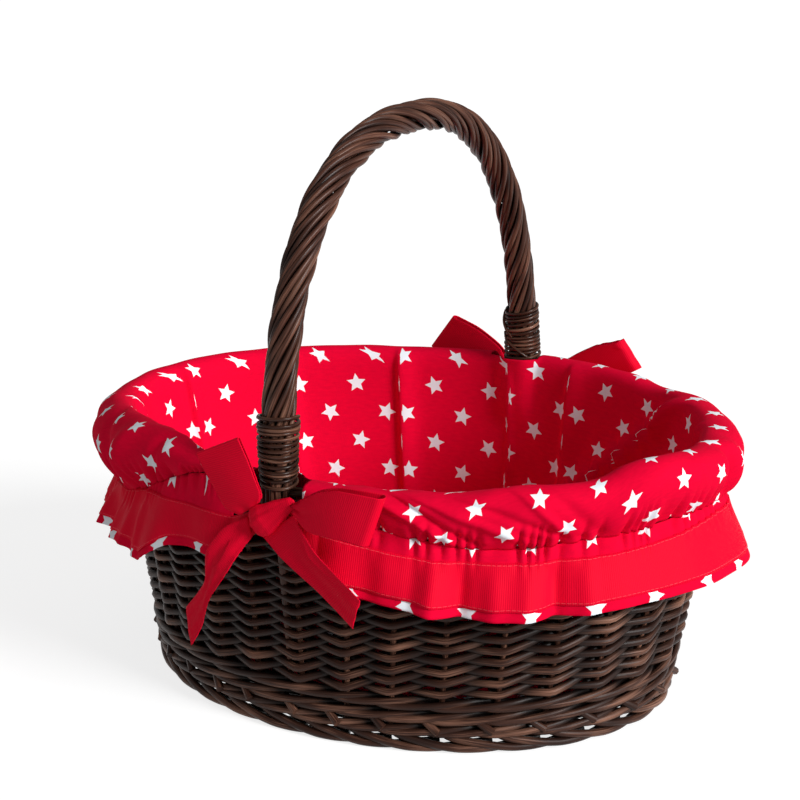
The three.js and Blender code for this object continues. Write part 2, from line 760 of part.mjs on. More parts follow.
crossStickPlaces.forEach((x, k) => add(`base_stick_cross_${k + 1}`, crossStick(x), willowRod));
longStickPlaces.forEach((y, k) => add(`base_stick_long_${k + 1}`, longStick(y), willowRod));
add('base_weave', baseWeave(), willowDark);
stakeAngles.forEach((angle, k) => add(`stake_${String(k + 1).padStart(2, '0')}`, stake(angle), willowRod));
add('foot_border', footBorder(), willowDark);
add('bottom_wale', bottomWale(), willowDark);
add('side_weave', sideWeave(), willowDark);
add('top_border', topBorder(), willowDark);
add('handle_core', handleCore(), willowRod);
add('handle_rope', handleRope(), willowRod);

for (const [name, from, sign] of [['front', bindingRiseFront, 1], ['rear', bindingRiseRear, -1]]) {
  const length = bindingPitch * bindingTurns;
  const first = sign > 0 ? from : handleLength - from - length;
  const path = bindingPath(first);
  const gap = leastGap(path, bindingRodDiameter);
  console.log(`handle_binding_${name}: least gap to itself ${gap.toFixed(2)} mm`);
  add(`handle_binding_${name}`, winding(path, bindingRodDiameter, bindingSides), willowThin);
}

add('liner', liner(), starCloth);
for (const [name, end] of [['left', -1], ['right', 1]]) {
  add(`elastic_${name}`, elastic(end), elasticWhite);
  add(`frill_${name}`, frill(end), starCloth);
  add(`ribbon_${name}`, ribbonOnFrill(end), grosgrain);
}

for (const [name, shape, turn] of [['front', frontBow, 0], ['rear', rearBow, Math.PI]]) {
  add(`bow_${name}`, bow(shape), grosgrain).rotation.z = turn;
  add(`knot_${name}`, knot(shape.tilt), grosgrain).rotation.z = turn;
}

export default group;
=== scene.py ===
"""Lined willow gift basket: woven rods, twisted handle, star cloth, frill and bows round the CAD frame."""
import math
import random
from functools import partial

import bmesh
import bpy
import numpy as np
from bpy.props import FloatProperty, FloatVectorProperty, IntProperty, PointerProperty
from mathutils import Matrix, Vector


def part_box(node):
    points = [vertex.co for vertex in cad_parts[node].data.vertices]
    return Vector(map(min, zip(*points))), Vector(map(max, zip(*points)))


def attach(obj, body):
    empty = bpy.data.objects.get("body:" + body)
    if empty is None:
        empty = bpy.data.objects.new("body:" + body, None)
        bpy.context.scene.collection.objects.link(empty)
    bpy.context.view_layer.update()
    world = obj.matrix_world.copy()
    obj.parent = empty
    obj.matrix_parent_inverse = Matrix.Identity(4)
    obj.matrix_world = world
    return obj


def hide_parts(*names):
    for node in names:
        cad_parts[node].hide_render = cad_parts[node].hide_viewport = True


bl_info = {
    "name": "Wicker Gift Basket",
    "version": (1, 0, 0),
    "blender": (4, 5, 0),
    "location": "View3D > Sidebar > Basket",
    "description": "Builds a lined willow gift basket with a frill and bows",
    "category": "Add Mesh",
}

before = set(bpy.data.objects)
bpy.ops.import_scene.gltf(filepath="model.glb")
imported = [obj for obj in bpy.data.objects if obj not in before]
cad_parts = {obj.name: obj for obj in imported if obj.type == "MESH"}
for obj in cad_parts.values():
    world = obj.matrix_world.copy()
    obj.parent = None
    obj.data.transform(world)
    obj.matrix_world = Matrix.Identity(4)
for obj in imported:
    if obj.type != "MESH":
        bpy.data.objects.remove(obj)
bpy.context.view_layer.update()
FULL_TURN = 2 * math.pi
MM = 0.001
ENDS = (("left", -1), ("right", 1))
# Columns of the liner's grid across a handle slit
SLIT_COLUMNS = 14


def linear(hex_colour):
    """sRGB hex text to linear RGBA."""
    parts = [int(hex_colour[i:i + 2], 16) / 255 for i in (1, 3, 5)]
    return tuple(
        c / 12.92 if c <= 0.04045 else ((c + 0.055) / 1.055) ** 2.4 for c in parts
    ) + (1.0,)


def length(name, default, description):
    """A size in metres that a user can change."""
    return FloatProperty(name=name, default=default, description=description, unit="LENGTH", precision=4)


def colour(name, default, description):
    """A colour that a user can change, given as hex text."""
    return FloatVectorProperty(name=name, default=linear(default), description=description,
                               subtype="COLOR", size=4, min=0, max=1)


# Sizes and colours that a user would change


class BasketWallSizes(bpy.types.PropertyGroup):
    """Sizes of the woven wall and foot."""

    foot_half_length: length("Foot half length", 0.1805, "Half length of the wall at the ground")
    foot_half_width: length("Foot half width", 0.143, "Half width of the wall at the ground")
    rim_half_length: length("Rim half length", 0.214, "Half length of the wall at its top")
    rim_half_width: length("Rim half width", 0.1535, "Half width of the wall at its top")
    rim_height: length("Rim height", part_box("top_border")[1].z, "Height of the rolled border")
    wale_bottom: length("Wale bottom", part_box("bottom_wale")[0].z, "Where the wale starts")
    wale_top: length("Wale top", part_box("bottom_wale")[1].z, "Where the siding starts")
    stake_count: IntProperty(name="Stakes", default=32, description="Upright stakes in the wall")
    stake_diameter: length("Stake diameter", 0.0038, "Thickness of an upright stake")
    stake_shift: length("Stake shift", 0.0032, "Distance of the first stake from the front centre")
    foot_rod: length("Foot rod", 0.0056, "Thickness of a rod in the foot border")
    wale_rod: length("Wale rod", 0.005, "Thickness of a rod in the wale")
    weaver_butt: length("Weaver butt", 0.0053, "Thickness of a weaver at its lower end")
    weaver_tip: length("Weaver tip", 0.0045, "Thickness of a weaver at its upper end")
    weaver_dip: length("Weaver dip", 0.0043, "Depth of the V that a weaver makes at a stake")
    weaver_climb: length("Weaver climb", 0.0077, "Rise of a weaver over two stakes")
    weaver_first: length("First row", 0.0392, "Height of the lowest row of the siding")
    border_rod: length("Border rod", 0.0044, "Thickness of a rod in the top border")


class BasketHandleSizes(bpy.types.PropertyGroup):
    """Sizes of the arched handle and its windings."""

    top: length("Handle top", 0.38, "Height of the handle's middle line")
    squareness: FloatProperty(name="Squareness", default=2.4, description="2 is an ellipse")
    aside: length("Lean", 0.0036, "How far each foot stands aside of the middle")
    out: length("Foot out", 0.002, "How far the feet stand outside the wall's middle")
    rod_count: IntProperty(name="Twisted rods", default=12, description="Rods round the core")
    rod: length("Twisted rod", 0.0043, "Thickness of a twisted rod")
    rope: length("Rope diameter", 0.0206, "Thickness of the whole handle")
    lay: length("Lay", 0.125, "Length of one full twist over the arch")
    lay_foot: length("Foot lay", 0.165, "Length of one full twist near the feet")
    core: length("Core", 0.009, "Thickness of the rod inside the twist")
    root_tip: length("Root tip", 0.003, "Thickness of the core's slyped ends inside the siding")
    binding_rod: length("Binding rod", 0.0025, "Thickness of the thin rod wound round a foot")
    binding_pitch: length("Binding pitch", 0.00315, "Distance between turns of a winding")
    binding_turns: IntProperty(name="Binding turns", default=13, description="Turns of a winding")
    rise_front: length("Front winding", 0.003, "Height of the front winding over the border")
    rise_rear: length("Rear winding", 0.012, "Height of the rear winding over the border")


class BasketClothSizes(bpy.types.PropertyGroup):
    """Sizes of the liner, the frill and the ribbon."""

    thickness: length("Cloth thickness", 0.0006, "Thickness of the star cloth")
    crest_rise: length("Crest", 0.013, "Height of the cloth's crest over the border")
    cuff_reach: length("Cuff reach", 0.017, "How far the cuff bulges from the wall")
    cuff_drop: length("Cuff drop", 0.029, "From the border's top down to the elastic")
    slit_half: length("Slit half width", 0.02, "Half width of the slits for the handle")
    frill_drop: length("Frill drop", 0.04, "Height of the frill")
    flare_side: length("Side flare", 0.017, "How far the frill's hem stands out at the sides")
    flare_end: length("End flare", 0.026, "How far the frill's hem stands out at the ends")
    header: length("Header", 0.0075, "Cloth between the elastic and the ribbon")
    fold_depth: length("Fold depth", 0.0036, "Depth of the frill's folds")
    fold_length: length("Fold length", 0.054, "Distance between the frill's folds")
    ribbon_width: length("Ribbon width", 0.031, "Width of the grosgrain ribbon")
    ribbon_thickness: length("Ribbon thickness", 0.0005, "Thickness of the ribbon")
    bow_height: length("Bow height", 0.153, "Height of the knots")
    bow_out: length("Bow off wall", 0.021, "Distance of the knots off the wall")
    star_radius: length("Star radius", 0.0073, "From a star's middle to its tips")
    star_pitch: length("Star pitch", 0.043, "Distance of the stars in a row")
    star_row: length("Star row", 0.0219, "Distance between the rows of stars")
    fullness: FloatProperty(name="Fullness", default=1.3, description="Length of cloth over length of wall")
    hem: length("Hem", 0.0062, "Cloth that shows below the ribbon")
    frill_gap: length("Front frill gap", 0.029, "From the middle to the ends of the frill in front")
    frill_gap_rear: length("Rear frill gap", 0.042, "From the middle to the ends of the frill behind")


class BasketColours(bpy.types.PropertyGroup):
    """Colours of the basket's materials."""

    willow_dark: colour("Willow dark", "#20110C", "Stained willow where it is darkest")
    willow_mid: colour("Willow middle", "#392118", "Stained willow over most of a rod")
    rod_mid: colour("Handle middle", "#4E2F24", "Stained willow of the handle")
    willow_light: colour("Willow light", "#8C6350", "Stained willow where it is rubbed")
    cloth: colour("Cloth", "#DE0030", "Red of the star cloth")
    star: colour("Stars", "#EAF0F6", "White of the printed stars")
    ribbon: colour("Ribbon", "#E4042C", "Red of the ribbon")
    thread: colour("Thread", "#EE4654", "Thread that sews the ribbon on")
    # Painted shade: the near-black that the willow's colour is mixed towards where a point lies deep in the
    # weave
    hollow: colour("Painted shade in willow hollows", "#0B0504", "Painted shade in the hollows of the weave")
    floor: colour("Floor", "#C4C4C4", "Studio floor, as it lights the basket")
    floor_seen: colour("Floor as seen", "#A0A0A0", "Studio floor under its own glow, as the camera sees it")


def sizes(group):
    """The sizes of the wall, handle or cloth, or the colours."""
    return getattr(bpy.context.scene, "basket_" + group)


# The wall: an oval that widens evenly with height


def lengths_along(line):
    """Distances along a line of points from its start."""
    steps = np.linalg.norm(np.diff(line, axis=0), axis=1)
    return np.concatenate([[0], np.cumsum(steps)])


def wall_halves(z):
    """Half length and half width of the wall's middle line at a height."""
    wall = sizes("wall")
    share = z / wall.rim_height
    long = wall.foot_half_length + (wall.rim_half_length - wall.foot_half_length) * share
    wide = wall.foot_half_width + (wall.rim_half_width - wall.foot_half_width) * share
    return long, wide


def wall_points(angle, z, out):
    """Points at those angles and heights, each moved out from the wall's middle line."""
    angle, z, out = np.broadcast_arrays(*(np.asarray(v, float) for v in (angle, z, out)))
    long, wide = wall_halves(z)
    across, along = np.cos(angle) / long, np.sin(angle) / wide
    norm = np.hypot(across, along)
    return np.stack([
        long * np.cos(angle) + out * across / norm,
        wide * np.sin(angle) + out * along / norm,
        z,
    ], -1)


def girth_table():
    """Distances along the wall at half height against turns from the front centre towards +X."""
    turn = np.linspace(0, FULL_TURN, 4097)
    line = wall_points(turn - math.pi / 2, sizes("wall").rim_height / 2, 0)
    return turn, lengths_along(line)


def angle_at(distance):
    """Angle at a distance along the wall from the front centre."""
    turn, table = girth_table()
    laps = np.floor(distance / table[-1])
    return -math.pi / 2 + FULL_TURN * laps + np.interp(distance - laps * table[-1], table, turn)


def distance_at(angle):
    """Distance along the wall from the front centre at an angle."""
    turn, table = girth_table()
    raw = np.asarray(angle) + math.pi / 2
    laps = np.floor(raw / FULL_TURN)
    return laps * table[-1] + np.interp(raw - laps * FULL_TURN, turn, table)


def stake_angle(place):
    """Angle of a place counted in stakes; whole numbers are stakes, each a little out of its even place."""
    wall = sizes("wall")
    draw = random.Random(2)
    strays = [draw.uniform(-0.03, 0.06) for _ in range(wall.stake_count)]
    place = place + np.interp(place, np.arange(wall.stake_count), strays, period=wall.stake_count)
    return angle_at(girth_table()[1][-1] * place / wall.stake_count + wall.stake_shift)


def softened(line, times):
    """The same line with its corners rounded off."""
    for _ in range(times):
        line[1:-1] = (line[:-2] + 2 * line[1:-1] + line[2:]) / 4
    return line


def woven_line(start, path, base, samples, rounding, stray=0.0):
    """A rod's line from a stake on. Its path lists places in stakes, and millimetres off the wall and up."""
    place, out, rise = np.array(path, float).T
    fine = np.linspace(place[0], place[-1], samples)
    return softened(wall_points(
        stake_angle(start + fine), base + np.interp(fine, place, rise * MM),
        np.interp(fine, place, out * MM) + stray * np.sin(fine * 2),
    ), rounding)


# Making pieces


def finish_piece(piece, nodes, finish):
    """Gives a piece its material, and ties it to the frame."""
    piece.data.materials.append(material_named(finish))
    for face in piece.data.polygons:
        face.use_smooth = True
    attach(piece, "root")
    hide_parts(*nodes)
    return piece


def object_from(mesh_builder, name):
    """Puts a built mesh into the scene as an object of that name."""
    mesh = bpy.data.meshes.new(name)
    mesh_builder.to_mesh(mesh)
    mesh_builder.free()
    piece = bpy.data.objects.new(name, mesh)
    bpy.context.scene.collection.objects.link(piece)
    return piece


def rod_mesh(line, radii, rings, shift):
    """One rod swept along a line. Its UV map gives millimetres along it and round it."""
    curve = bpy.data.curves.new("rod", "CURVE")
    curve.dimensions = "3D"
    curve.bevel_depth = 1
    curve.bevel_resolution = rings
    curve.use_fill_caps = True
    spline = curve.splines.new("POLY")
    spline.points.add(len(line) - 1)
    spline.points.foreach_set("co", np.c_[line, np.ones(len(line))].ravel())
    spline.points.foreach_set("radius", np.broadcast_to(radii, len(line)).astype(float))
    holder = bpy.data.objects.new("rod", curve)
    mesh = bpy.data.meshes.new_from_object(holder)
    bpy.data.objects.remove(holder)
    bpy.data.curves.remove(curve)
    distances = lengths_along(line)
    layer = mesh.uv_layers[0]
    uv = np.empty(len(mesh.loops) * 2, np.float32)
    layer.data.foreach_get("uv", uv)
    uv = uv.reshape(-1, 2)
    uv[:, 0] = np.interp(uv[:, 0] * (len(line) - 1), np.arange(len(line)), distances) / MM
    uv[:, 0] += shift
    uv[:, 1] *= FULL_TURN * float(np.mean(radii)) / MM
    layer.data.foreach_set("uv", uv.ravel())
    return mesh


def off_wall(points):
    """How far points stand off the middle of the wall."""
    long, short = wall_halves(points[:, 2])
    share = np.hypot(points[:, 0] / long, points[:, 1] / short)
    return (share - 1) * share / np.hypot(points[:, 0] / long ** 2, points[:, 1] / short ** 2)


def off_handle(points):
    """How far points stand off the middle of the handle."""
    line = handle_line(301)[0]
    return np.concatenate([
        np.linalg.norm(part[:, None, :] - line[None], axis=2).min(axis=1)
        for part in np.array_split(points, 40)
    ])


def rods_piece(name, rods, nodes, finish, rings=2, seed=1, proud=None):
    """A piece made of rods, each given as its line and its radius along it.

    Proud tells how far a point stands out of the weave. Shade is painted darkest in the hollows.
    """
    draw = random.Random(seed)
    builder = bmesh.new()
    for line, radii in rods:
        mesh = rod_mesh(np.asarray(line, float), radii, rings, draw.uniform(0, 90000))
        builder.from_mesh(mesh)
        bpy.data.meshes.remove(mesh)
    if not builder.faces:
        raise RuntimeError(f"{name} has no rods")
    piece = object_from(builder, name)
    points = np.empty(len(piece.data.vertices) * 3)
    piece.data.vertices.foreach_get("co", points)
    points = points.reshape(-1, 3)
    # Painted shade: how much of the rod's own colour shows, 0 deep in the weave and 1 where it stands proud
    unshaded = np.ones(len(points)) if proud is None else smooth(proud(points))
    piece.data.attributes.new("unshaded", "FLOAT", "POINT").data.foreach_set("value", unshaded.astype(np.float32))
    return finish_piece(piece, nodes, finish)


def cloth_piece(name, grid, uv, nodes, finish, thickness, closed=False, keep=None):
    """A sheet over a grid of points [row][column], with UVs in metres of flat cloth."""
    rows, columns = grid.shape[:2]
    builder = bmesh.new()
    layer = builder.loops.layers.uv.new("UVMap")
    bmesh.ops.create_grid(builder, x_segments=columns - 1, y_segments=rows - 1, size=1, calc_uvs=False)
    builder.verts.ensure_lookup_table()
    for vert in builder.verts:
        row, column = divmod(vert.index, columns)
        vert.co = grid[row, column]
    for face in builder.faces:
        for loop in face.loops:
            loop[layer].uv = uv[divmod(loop.vert.index, columns)]
    if keep is not None:
        gone = [f for f in builder.faces if not all(keep[divmod(vert.index, columns)] for vert in f.verts)]
        bmesh.ops.delete(builder, geom=gone, context="FACES")
    if closed:
        bmesh.ops.remove_doubles(builder, verts=builder.verts, dist=MM / 100)
    bmesh.ops.recalc_face_normals(builder, faces=builder.faces)
    piece = object_from(builder, name)
    solid = piece.modifiers.new("Cloth thickness", "SOLIDIFY")
    solid.thickness = thickness
    solid.offset = 0
    return finish_piece(piece, nodes, finish)


# Materials


def add_node(tree, kind, values=None, **settings):
    """Adds a node, sets its options, and sets or links its inputs."""
    node = tree.nodes.new(kind)
    for key, value in settings.items():
        setattr(node, key, value)
    for key, value in (values or {}).items():
        if isinstance(value, bpy.types.NodeSocket):
            tree.links.new(value, node.inputs[key])
        else:
            node.inputs[key].default_value = value
    return node


def new_material(name):
    """A material with only a shader and its output."""
    material = bpy.data.materials.new(name)
    material.use_nodes = True
    tree = material.node_tree
    tree.nodes.clear()
    shader = add_node(tree, "ShaderNodeBsdfPrincipled")
    add_node(tree, "ShaderNodeOutputMaterial", {"Surface": shader.outputs[0]})
    return material, tree, shader


def maths(tree, operation, *inputs):
    """One sum on sockets or numbers."""
    return add_node(tree, "ShaderNodeMath", dict(enumerate(inputs)), operation=operation).outputs[0]


def uv_place(tree):
    """Place on a piece: millimetres on rods, metres of flat cloth on sheets."""
    return add_node(tree, "ShaderNodeUVMap", uv_map="UVMap").outputs[0]


def scaled(tree, place, along, across):
    """That place scaled along a piece and across it."""
    return add_node(tree, "ShaderNodeMapping", {0: place, "Scale": (along, across, 1)}).outputs[0]


def noise(tree, place, detail, scale=1.0):
    """Soft noise at a place."""
    return add_node(tree, "ShaderNodeTexNoise", {
        "Vector": place, "Scale": scale, "Detail": detail}).outputs[0]


def ranged(tree, value, start, stop, low=0.0, high=1.0):
    """Turns values from start to stop into values from low to high."""
    return add_node(tree, "ShaderNodeMapRange", {
        "Value": value, "From Min": start, "From Max": stop, "To Min": low, "To Max": high}).outputs[0]


def mixed(tree, share, first, second, blend="MIX"):
    """Mixes two colours."""
    return add_node(tree, "ShaderNodeMix", {0: share, 6: first, 7: second},
                    data_type="RGBA", blend_type=blend).outputs[2]


def surface(tree, shader, tint, height, strength, relief, roughness, specular=0.5):
    """Gives a shader its colour, a bump of that strength and relief in metres, and its sheen."""
    bump = add_node(tree, "ShaderNodeBump", {"Height": height, "Strength": strength, "Distance": relief})
    tree.links.new(tint, shader.inputs["Base Color"])
    tree.links.new(bump.outputs[0], shader.inputs["Normal"])
    shader.inputs["Roughness"].default_value = roughness
    shader.inputs["Specular IOR Level"].default_value = specular


def willow(name, mid, roughness):
    """Willow rods, peeled, stained and oiled: brown with lengthwise grain and a satin sheen."""
    colours = sizes("colours")
    material, tree, shader = new_material(name)
    uv = uv_place(tree)
    # From rod to rod and along each rod the stain drifts over about 60 mm
    drift = noise(tree, scaled(tree, uv, 1 / 60, 1 / 40), 2.0)
    # Grain: streaks about 25 mm long and 0.8 mm wide
    grain = noise(tree, scaled(tree, uv, 1 / 25, 1 / 0.8), 3.0)
    stain = maths(tree, "ADD", maths(tree, "MULTIPLY", drift, 0.6), maths(tree, "MULTIPLY", grain, 0.4))
    tint = add_node(tree, "ShaderNodeValToRGB", {0: stain})
    ramp = tint.color_ramp
    ramp.elements[0].position, ramp.elements[0].color = 0.36, colours.willow_dark
    ramp.elements[1].position, ramp.elements[1].color = 0.66, colours.willow_light
    ramp.elements.new(0.5).color = mid
    # Painted shade: deep in the weave the stain's tint goes towards the near-black hollow colour, by the
    # rods' proudness
    unshaded = add_node(tree, "ShaderNodeAttribute", attribute_name="unshaded").outputs["Fac"]
    stained = mixed(tree, unshaded, colours.hollow, tint.outputs[0])
    surface(tree, shader, stained, grain, 0.35, 0.4 * MM, roughness, 0.18)
    return material


def split_willow(name):
    """Split willow sticks, shaved flat and stained: brown, with a fine mottled grain."""
    colours = sizes("colours")
    material, tree, shader = new_material(name)
    place = add_node(tree, "ShaderNodeTexCoord").outputs["Object"]
    # The sticks run both ways, so the grain is drawn the same along both
    grain = noise(tree, place, 4.0, 400.0)
    tint = mixed(tree, grain, colours.willow_dark, colours.willow_light)
    surface(tree, shader, tint, grain, 0.3, 0.4 * MM, 0.6)
    return material


def star_mask(tree, uv):
    """One inside a printed five-pointed star, with soft edges of about 0.2 mm."""
    cloth = sizes("cloth")
    do = partial(maths, tree)
    split = add_node(tree, "ShaderNodeSeparateXYZ", {0: uv})
    row_place = do("DIVIDE", split.outputs[1], cloth.star_row)
    row = do("FLOOR", row_place)
    # Every other row is moved by half a step
    half_step = do("MULTIPLY", do("MODULO", do("ADD", row, 100.0), 2.0), 0.5)
    column_place = do("ADD", do("DIVIDE", split.outputs[0], cloth.star_pitch), half_step)
    column = do("FLOOR", column_place)
    x = do("MULTIPLY", do("SUBTRACT", do("FRACT", column_place), 0.5), cloth.star_pitch)
    y = do("MULTIPLY", do("SUBTRACT", do("FRACT", row_place), 0.5), cloth.star_row)
    cell = add_node(tree, "ShaderNodeCombineXYZ", {0: column, 1: row})
    turned = add_node(tree, "ShaderNodeTexWhiteNoise", {"Vector": cell.outputs[0]}).outputs[0]
    # All ten half points are folded onto one, whose edge is a straight line from tip to notch
    angle = do("ADD", do("ARCTAN2", y, x), do("MULTIPLY", turned, FULL_TURN))
    fold = do("PINGPONG", do("ADD", angle, 4 * math.pi), math.pi / 5)
    radius = do("SQRT", do("ADD", do("MULTIPLY", x, x), do("MULTIPLY", y, y)))
    tip, notch = cloth.star_radius, 0.47 * cloth.star_radius
    side = Vector((notch * math.sin(math.pi / 5), tip - notch * math.cos(math.pi / 5))).normalized()
    beyond = do("ADD", do("MULTIPLY", do("MULTIPLY", radius, do("COSINE", fold)), side.x),
                do("MULTIPLY", do("MULTIPLY", radius, do("SINE", fold)), side.y))
    return ranged(tree, beyond, tip * side.x + 0.1 * MM, tip * side.x - 0.1 * MM)


def star_cotton(name):
    """Plain-woven printed cotton: matt, with a faint thread grid and slubs."""
    colours = sizes("colours")
    material, tree, shader = new_material(name)
    uv = uv_place(tree)
    # Threads are 0.35 mm apart on the real cloth and drawn 0.9 mm apart, so that they show
    place = scaled(tree, uv, 1000 / 0.9, 1000 / 0.9)
    threads = add_node(tree, "ShaderNodeTexChecker", {"Vector": place, "Scale": 1.0})
    # Slubs: thick places in the yarn, 6 mm long and 2 mm wide
    slubs = noise(tree, scaled(tree, uv, 1000 / 6, 1000 / 2), 4.0)
    dyed = mixed(tree, 1.0, colours.cloth, ranged(tree, slubs, 0.3, 0.7, 0.93, 1.05), "MULTIPLY")
    printed = mixed(tree, star_mask(tree, uv), dyed, colours.star)
    height = maths(tree, "ADD", maths(tree, "MULTIPLY", threads.outputs[1], 0.3), slubs)
    surface(tree, shader, printed, height, 0.25, 0.3 * MM, 0.85, 0.06)
    return material


def grosgrain(name, stitched):
    """Grosgrain ribbon of polyester: fine ribs from edge to edge, and a soft sheen."""
    colours, half_width = sizes("colours"), sizes("cloth").ribbon_width / 2
    material, tree, shader = new_material(name)
    do = partial(maths, tree)
    split = add_node(tree, "ShaderNodeSeparateXYZ", {0: uv_place(tree)})
    along, across = split.outputs[0], split.outputs[1]
    # Ribs are 0.7 mm apart on the real ribbon and drawn 1.3 mm apart, so that they show
    ribs = do("SINE", do("MULTIPLY", along, FULL_TURN / 0.0013))
    tint = mixed(tree, 1.0, colours.ribbon, ranged(tree, ribs, -1.0, 1.0, 0.9, 1.04), "MULTIPLY")
    height = ribs
    if stitched:
        # Stitches 2.6 mm long, 3.4 mm apart, in a line 1.6 mm from each edge
        from_line = do("ABSOLUTE", do("SUBTRACT", do("ABSOLUTE", do("SUBTRACT", across, half_width)),
                                      half_width - 0.0016))
        in_stitch = do("LESS_THAN", do("FRACT", do("DIVIDE", along, 0.0034)), 0.76)
        stitch = do("MULTIPLY", do("LESS_THAN", from_line, 0.00017), in_stitch)
        seam = do("LESS_THAN", from_line, 0.0005)
        tint = mixed(tree, stitch, tint, colours.thread)
        height = do("ADD", ribs, do("SUBTRACT", do("MULTIPLY", stitch, 4.0), do("MULTIPLY", seam, 2.0)))
    surface(tree, shader, tint, height, 0.3, 0.2 * MM, 0.6, 0.05)
    return material


def covered_elastic(name):
    """Braided elastic: off-white and matt, with a fine diagonal braid."""
    material, tree, shader = new_material(name)
    braid = add_node(tree, "ShaderNodeTexWave", {"Vector": uv_place(tree), "Scale": 0.6},
                     bands_direction="DIAGONAL").outputs[1]
    surface(tree, shader, mixed(tree, braid, linear("#CFC9BF"), linear("#EEEAE3")), braid, 0.4, 0.3 * MM, 0.9)
    return material


FINISHES = {
    "weave": "Stained willow, woven", "rod": "Stained willow, twisted",
    "binding": "Stained willow, wound thin", "stick": "Stained willow, split",
    "cloth": "Printed star cotton", "ribbon": "Grosgrain ribbon, tied",
    "sewn": "Grosgrain ribbon, sewn on", "elastic": "Braided elastic",
}


def material_named(finish):
    """Makes each material once, when the first piece needs it."""
    name, colours = FINISHES[finish], sizes("colours")
    found = bpy.data.materials.get(name)
    if found:
        return found
    makers = {
        "weave": lambda: willow(name, colours.willow_mid, 0.45),
        "rod": lambda: willow(name, colours.rod_mid, 0.38),
        "binding": lambda: willow(name, colours.willow_mid, 0.3),
        "stick": lambda: split_willow(name),
        "cloth": lambda: star_cotton(name),
        "ribbon": lambda: grosgrain(name, False),
        "sewn": lambda: grosgrain(name, True),
        "elastic": lambda: covered_elastic(name),
    }
    return makers[finish]()


# Folds of cloth. The lists say how the liner and frill stray from an even hang: turns in degrees from the
# front centre towards +X, with millimetres. Sways move a line up, and folds stand out from the wall.
# Four sways, of crest, elastic, ribbon and hem, were worked out from lines seen in the photo, then rounded.

CREST_SWAY = (
    (9, -6), (32, -5), (39, 0), (57, 1), (64, 11), (72, 12), (88, 7), (134, 7), (145, 2), (152, 6),
    (172, 6), (200, 1), (240, -1), (285, -4), (306, -1), (319, 4), (334, 5), (341, -3), (351, -5),
)
ELASTIC_SWAY = (
    (7, 19.5), (22, 10.5), (32, 4), (40, 4), (47, 5), (52, 7), (67, 10), (77, 12.5), (101, 9.5), (120, 3.5),
    (250, 0.5), (285, -6.5), (302, -13.5), (310, -12), (316, -8.5), (321, -3), (336, 19.5), (343, 29.5),
    (352, 31.5),
)
RIBBON_SWAY = (
    (7, 14.5), (12, 12), (19, 8), (26, 5), (31, 3.5), (48, 3.5), (51, 5), (62, 6.5), (74, 9.5), (81, 12),
    (93, 12.5), (104, 9.5), (125, 2.5), (250, 0.5), (285, -5.5), (302, -9.5), (312, -4.5), (318, 1.5),
    (327, 10.5), (331, 12), (350, 16), (352, 14.5),
)
HEM_SWAY = (
    (7, 18.5), (12, 14.5), (17, 11), (22, 9), (28, 7), (32, 4), (40, 4.5), (44, 5.5), (48, 5), (52, 6),
    (60, 9.5), (71, 9.5), (76, 11.5), (83, 10.5), (102, 7), (115, 2.5), (130, 0.5), (250, 0.5), (285, -5.5),
    (300, -4.5), (313, -1.5), (320, 2.5), (325, 0), (329, 0.5), (332, 2.5), (334, 17), (341, 21),
    (348, 24.5), (352, 18.5),
)
BULGE_SWAY = ((9, 0), (250, 0), (280, 5), (300, 8), (318, 6), (334, 0), (351, 0))
# Turn, half width, depth, and slant: how far the fold runs sideways for each millimetre outwards and down
CUFF_FOLDS = (
    (14, 4, 3.0, 1.3), (18, 4, -2.5, 1.3), (23, 5, 2.5, 1.6), (28, 5, -2, 1.8), (41, 3, 2.4, 0.8),
    (46, 5, -1.5, 0.8), (92, 5, -4, 0.2), (97, 6, 3, 0.2), (311, 8, -4, 0.5), (325, 9, 4, -0.5),
    (335, 4, -3, -0.4),
)
FRILL_FOLDS = (
    (20, 8, 3), (25, 5, -2), (28.5, 5, 3), (33, 5, -4.5), (38.5, 6, 3), (44.5, 5, 2), (49.5, 5, -4.5),
    (55, 6, 3), (284, 7, 3), (291, 5, 5), (296, 4, -1), (301, 5, 4), (306, 4, -1), (313, 6, 4), (320, 5, 2),
    (326, 6, 4),
)
# Turn, half width, depth, and slant of the pleats that take up the liner's fullness inside
PLEATS = (
    (35, 8, 3, 0), (62, 8, 3, 0.1), (88, 8, 4, 0), (112, 8, 4, 0), (138, 13, 11, -1.1), (166, 12, 3, 0),
    (180, 4, 1.5, 0), (205, 10, 4, 0), (232, 8, 3, 0), (262, 9, 4, 0), (295, 10, 5, -0.2), (330, 9, 4, 0),
)


def sway(pairs, angle):
    """Values of such a list at those angles, in metres, with its corners rounded off."""
    turns, values = np.array(pairs, float).T
    turn = np.degrees(np.asarray(angle) + math.pi / 2)
    near = [np.interp(turn + step, turns, values, period=360) for step in (-3, -1.5, 0, 1.5, 3)]
    return MM * np.mean(near, axis=0)


def past(angle, turn):
    """Distance along the wall past that turn, the shorter way round."""
    girth = distance_at(1.5 * math.pi)
    raw = distance_at(angle) - distance_at(math.radians(turn) - math.pi / 2)
    return (raw + girth / 2) % girth - girth / 2


def gathers(distance, pitch=0.0115):
    """Rounded puckers with sharp valleys between them, from -1 to 1, uneven along the elastic."""
    wander = 1.7 * np.sin(FULL_TURN * distance / 0.067) + 1.1 * np.sin(FULL_TURN * distance / 0.041 + 2)
    strength = 0.82 + 0.18 * np.sin(FULL_TURN * distance / 0.093 + 1)
    return strength * (2 * np.abs(np.sin(math.pi * distance / pitch + wander)) ** 0.7 - 1.2)


def smooth(value):
    """Eases a share from 0 to 1, and keeps it there outside."""
    share = np.clip(value, 0, 1)
    return share * share * (3 - 2 * share)


# Pieces of willow. Each path goes over as many stakes as it says: place in stakes, mm off the wall, mm up.

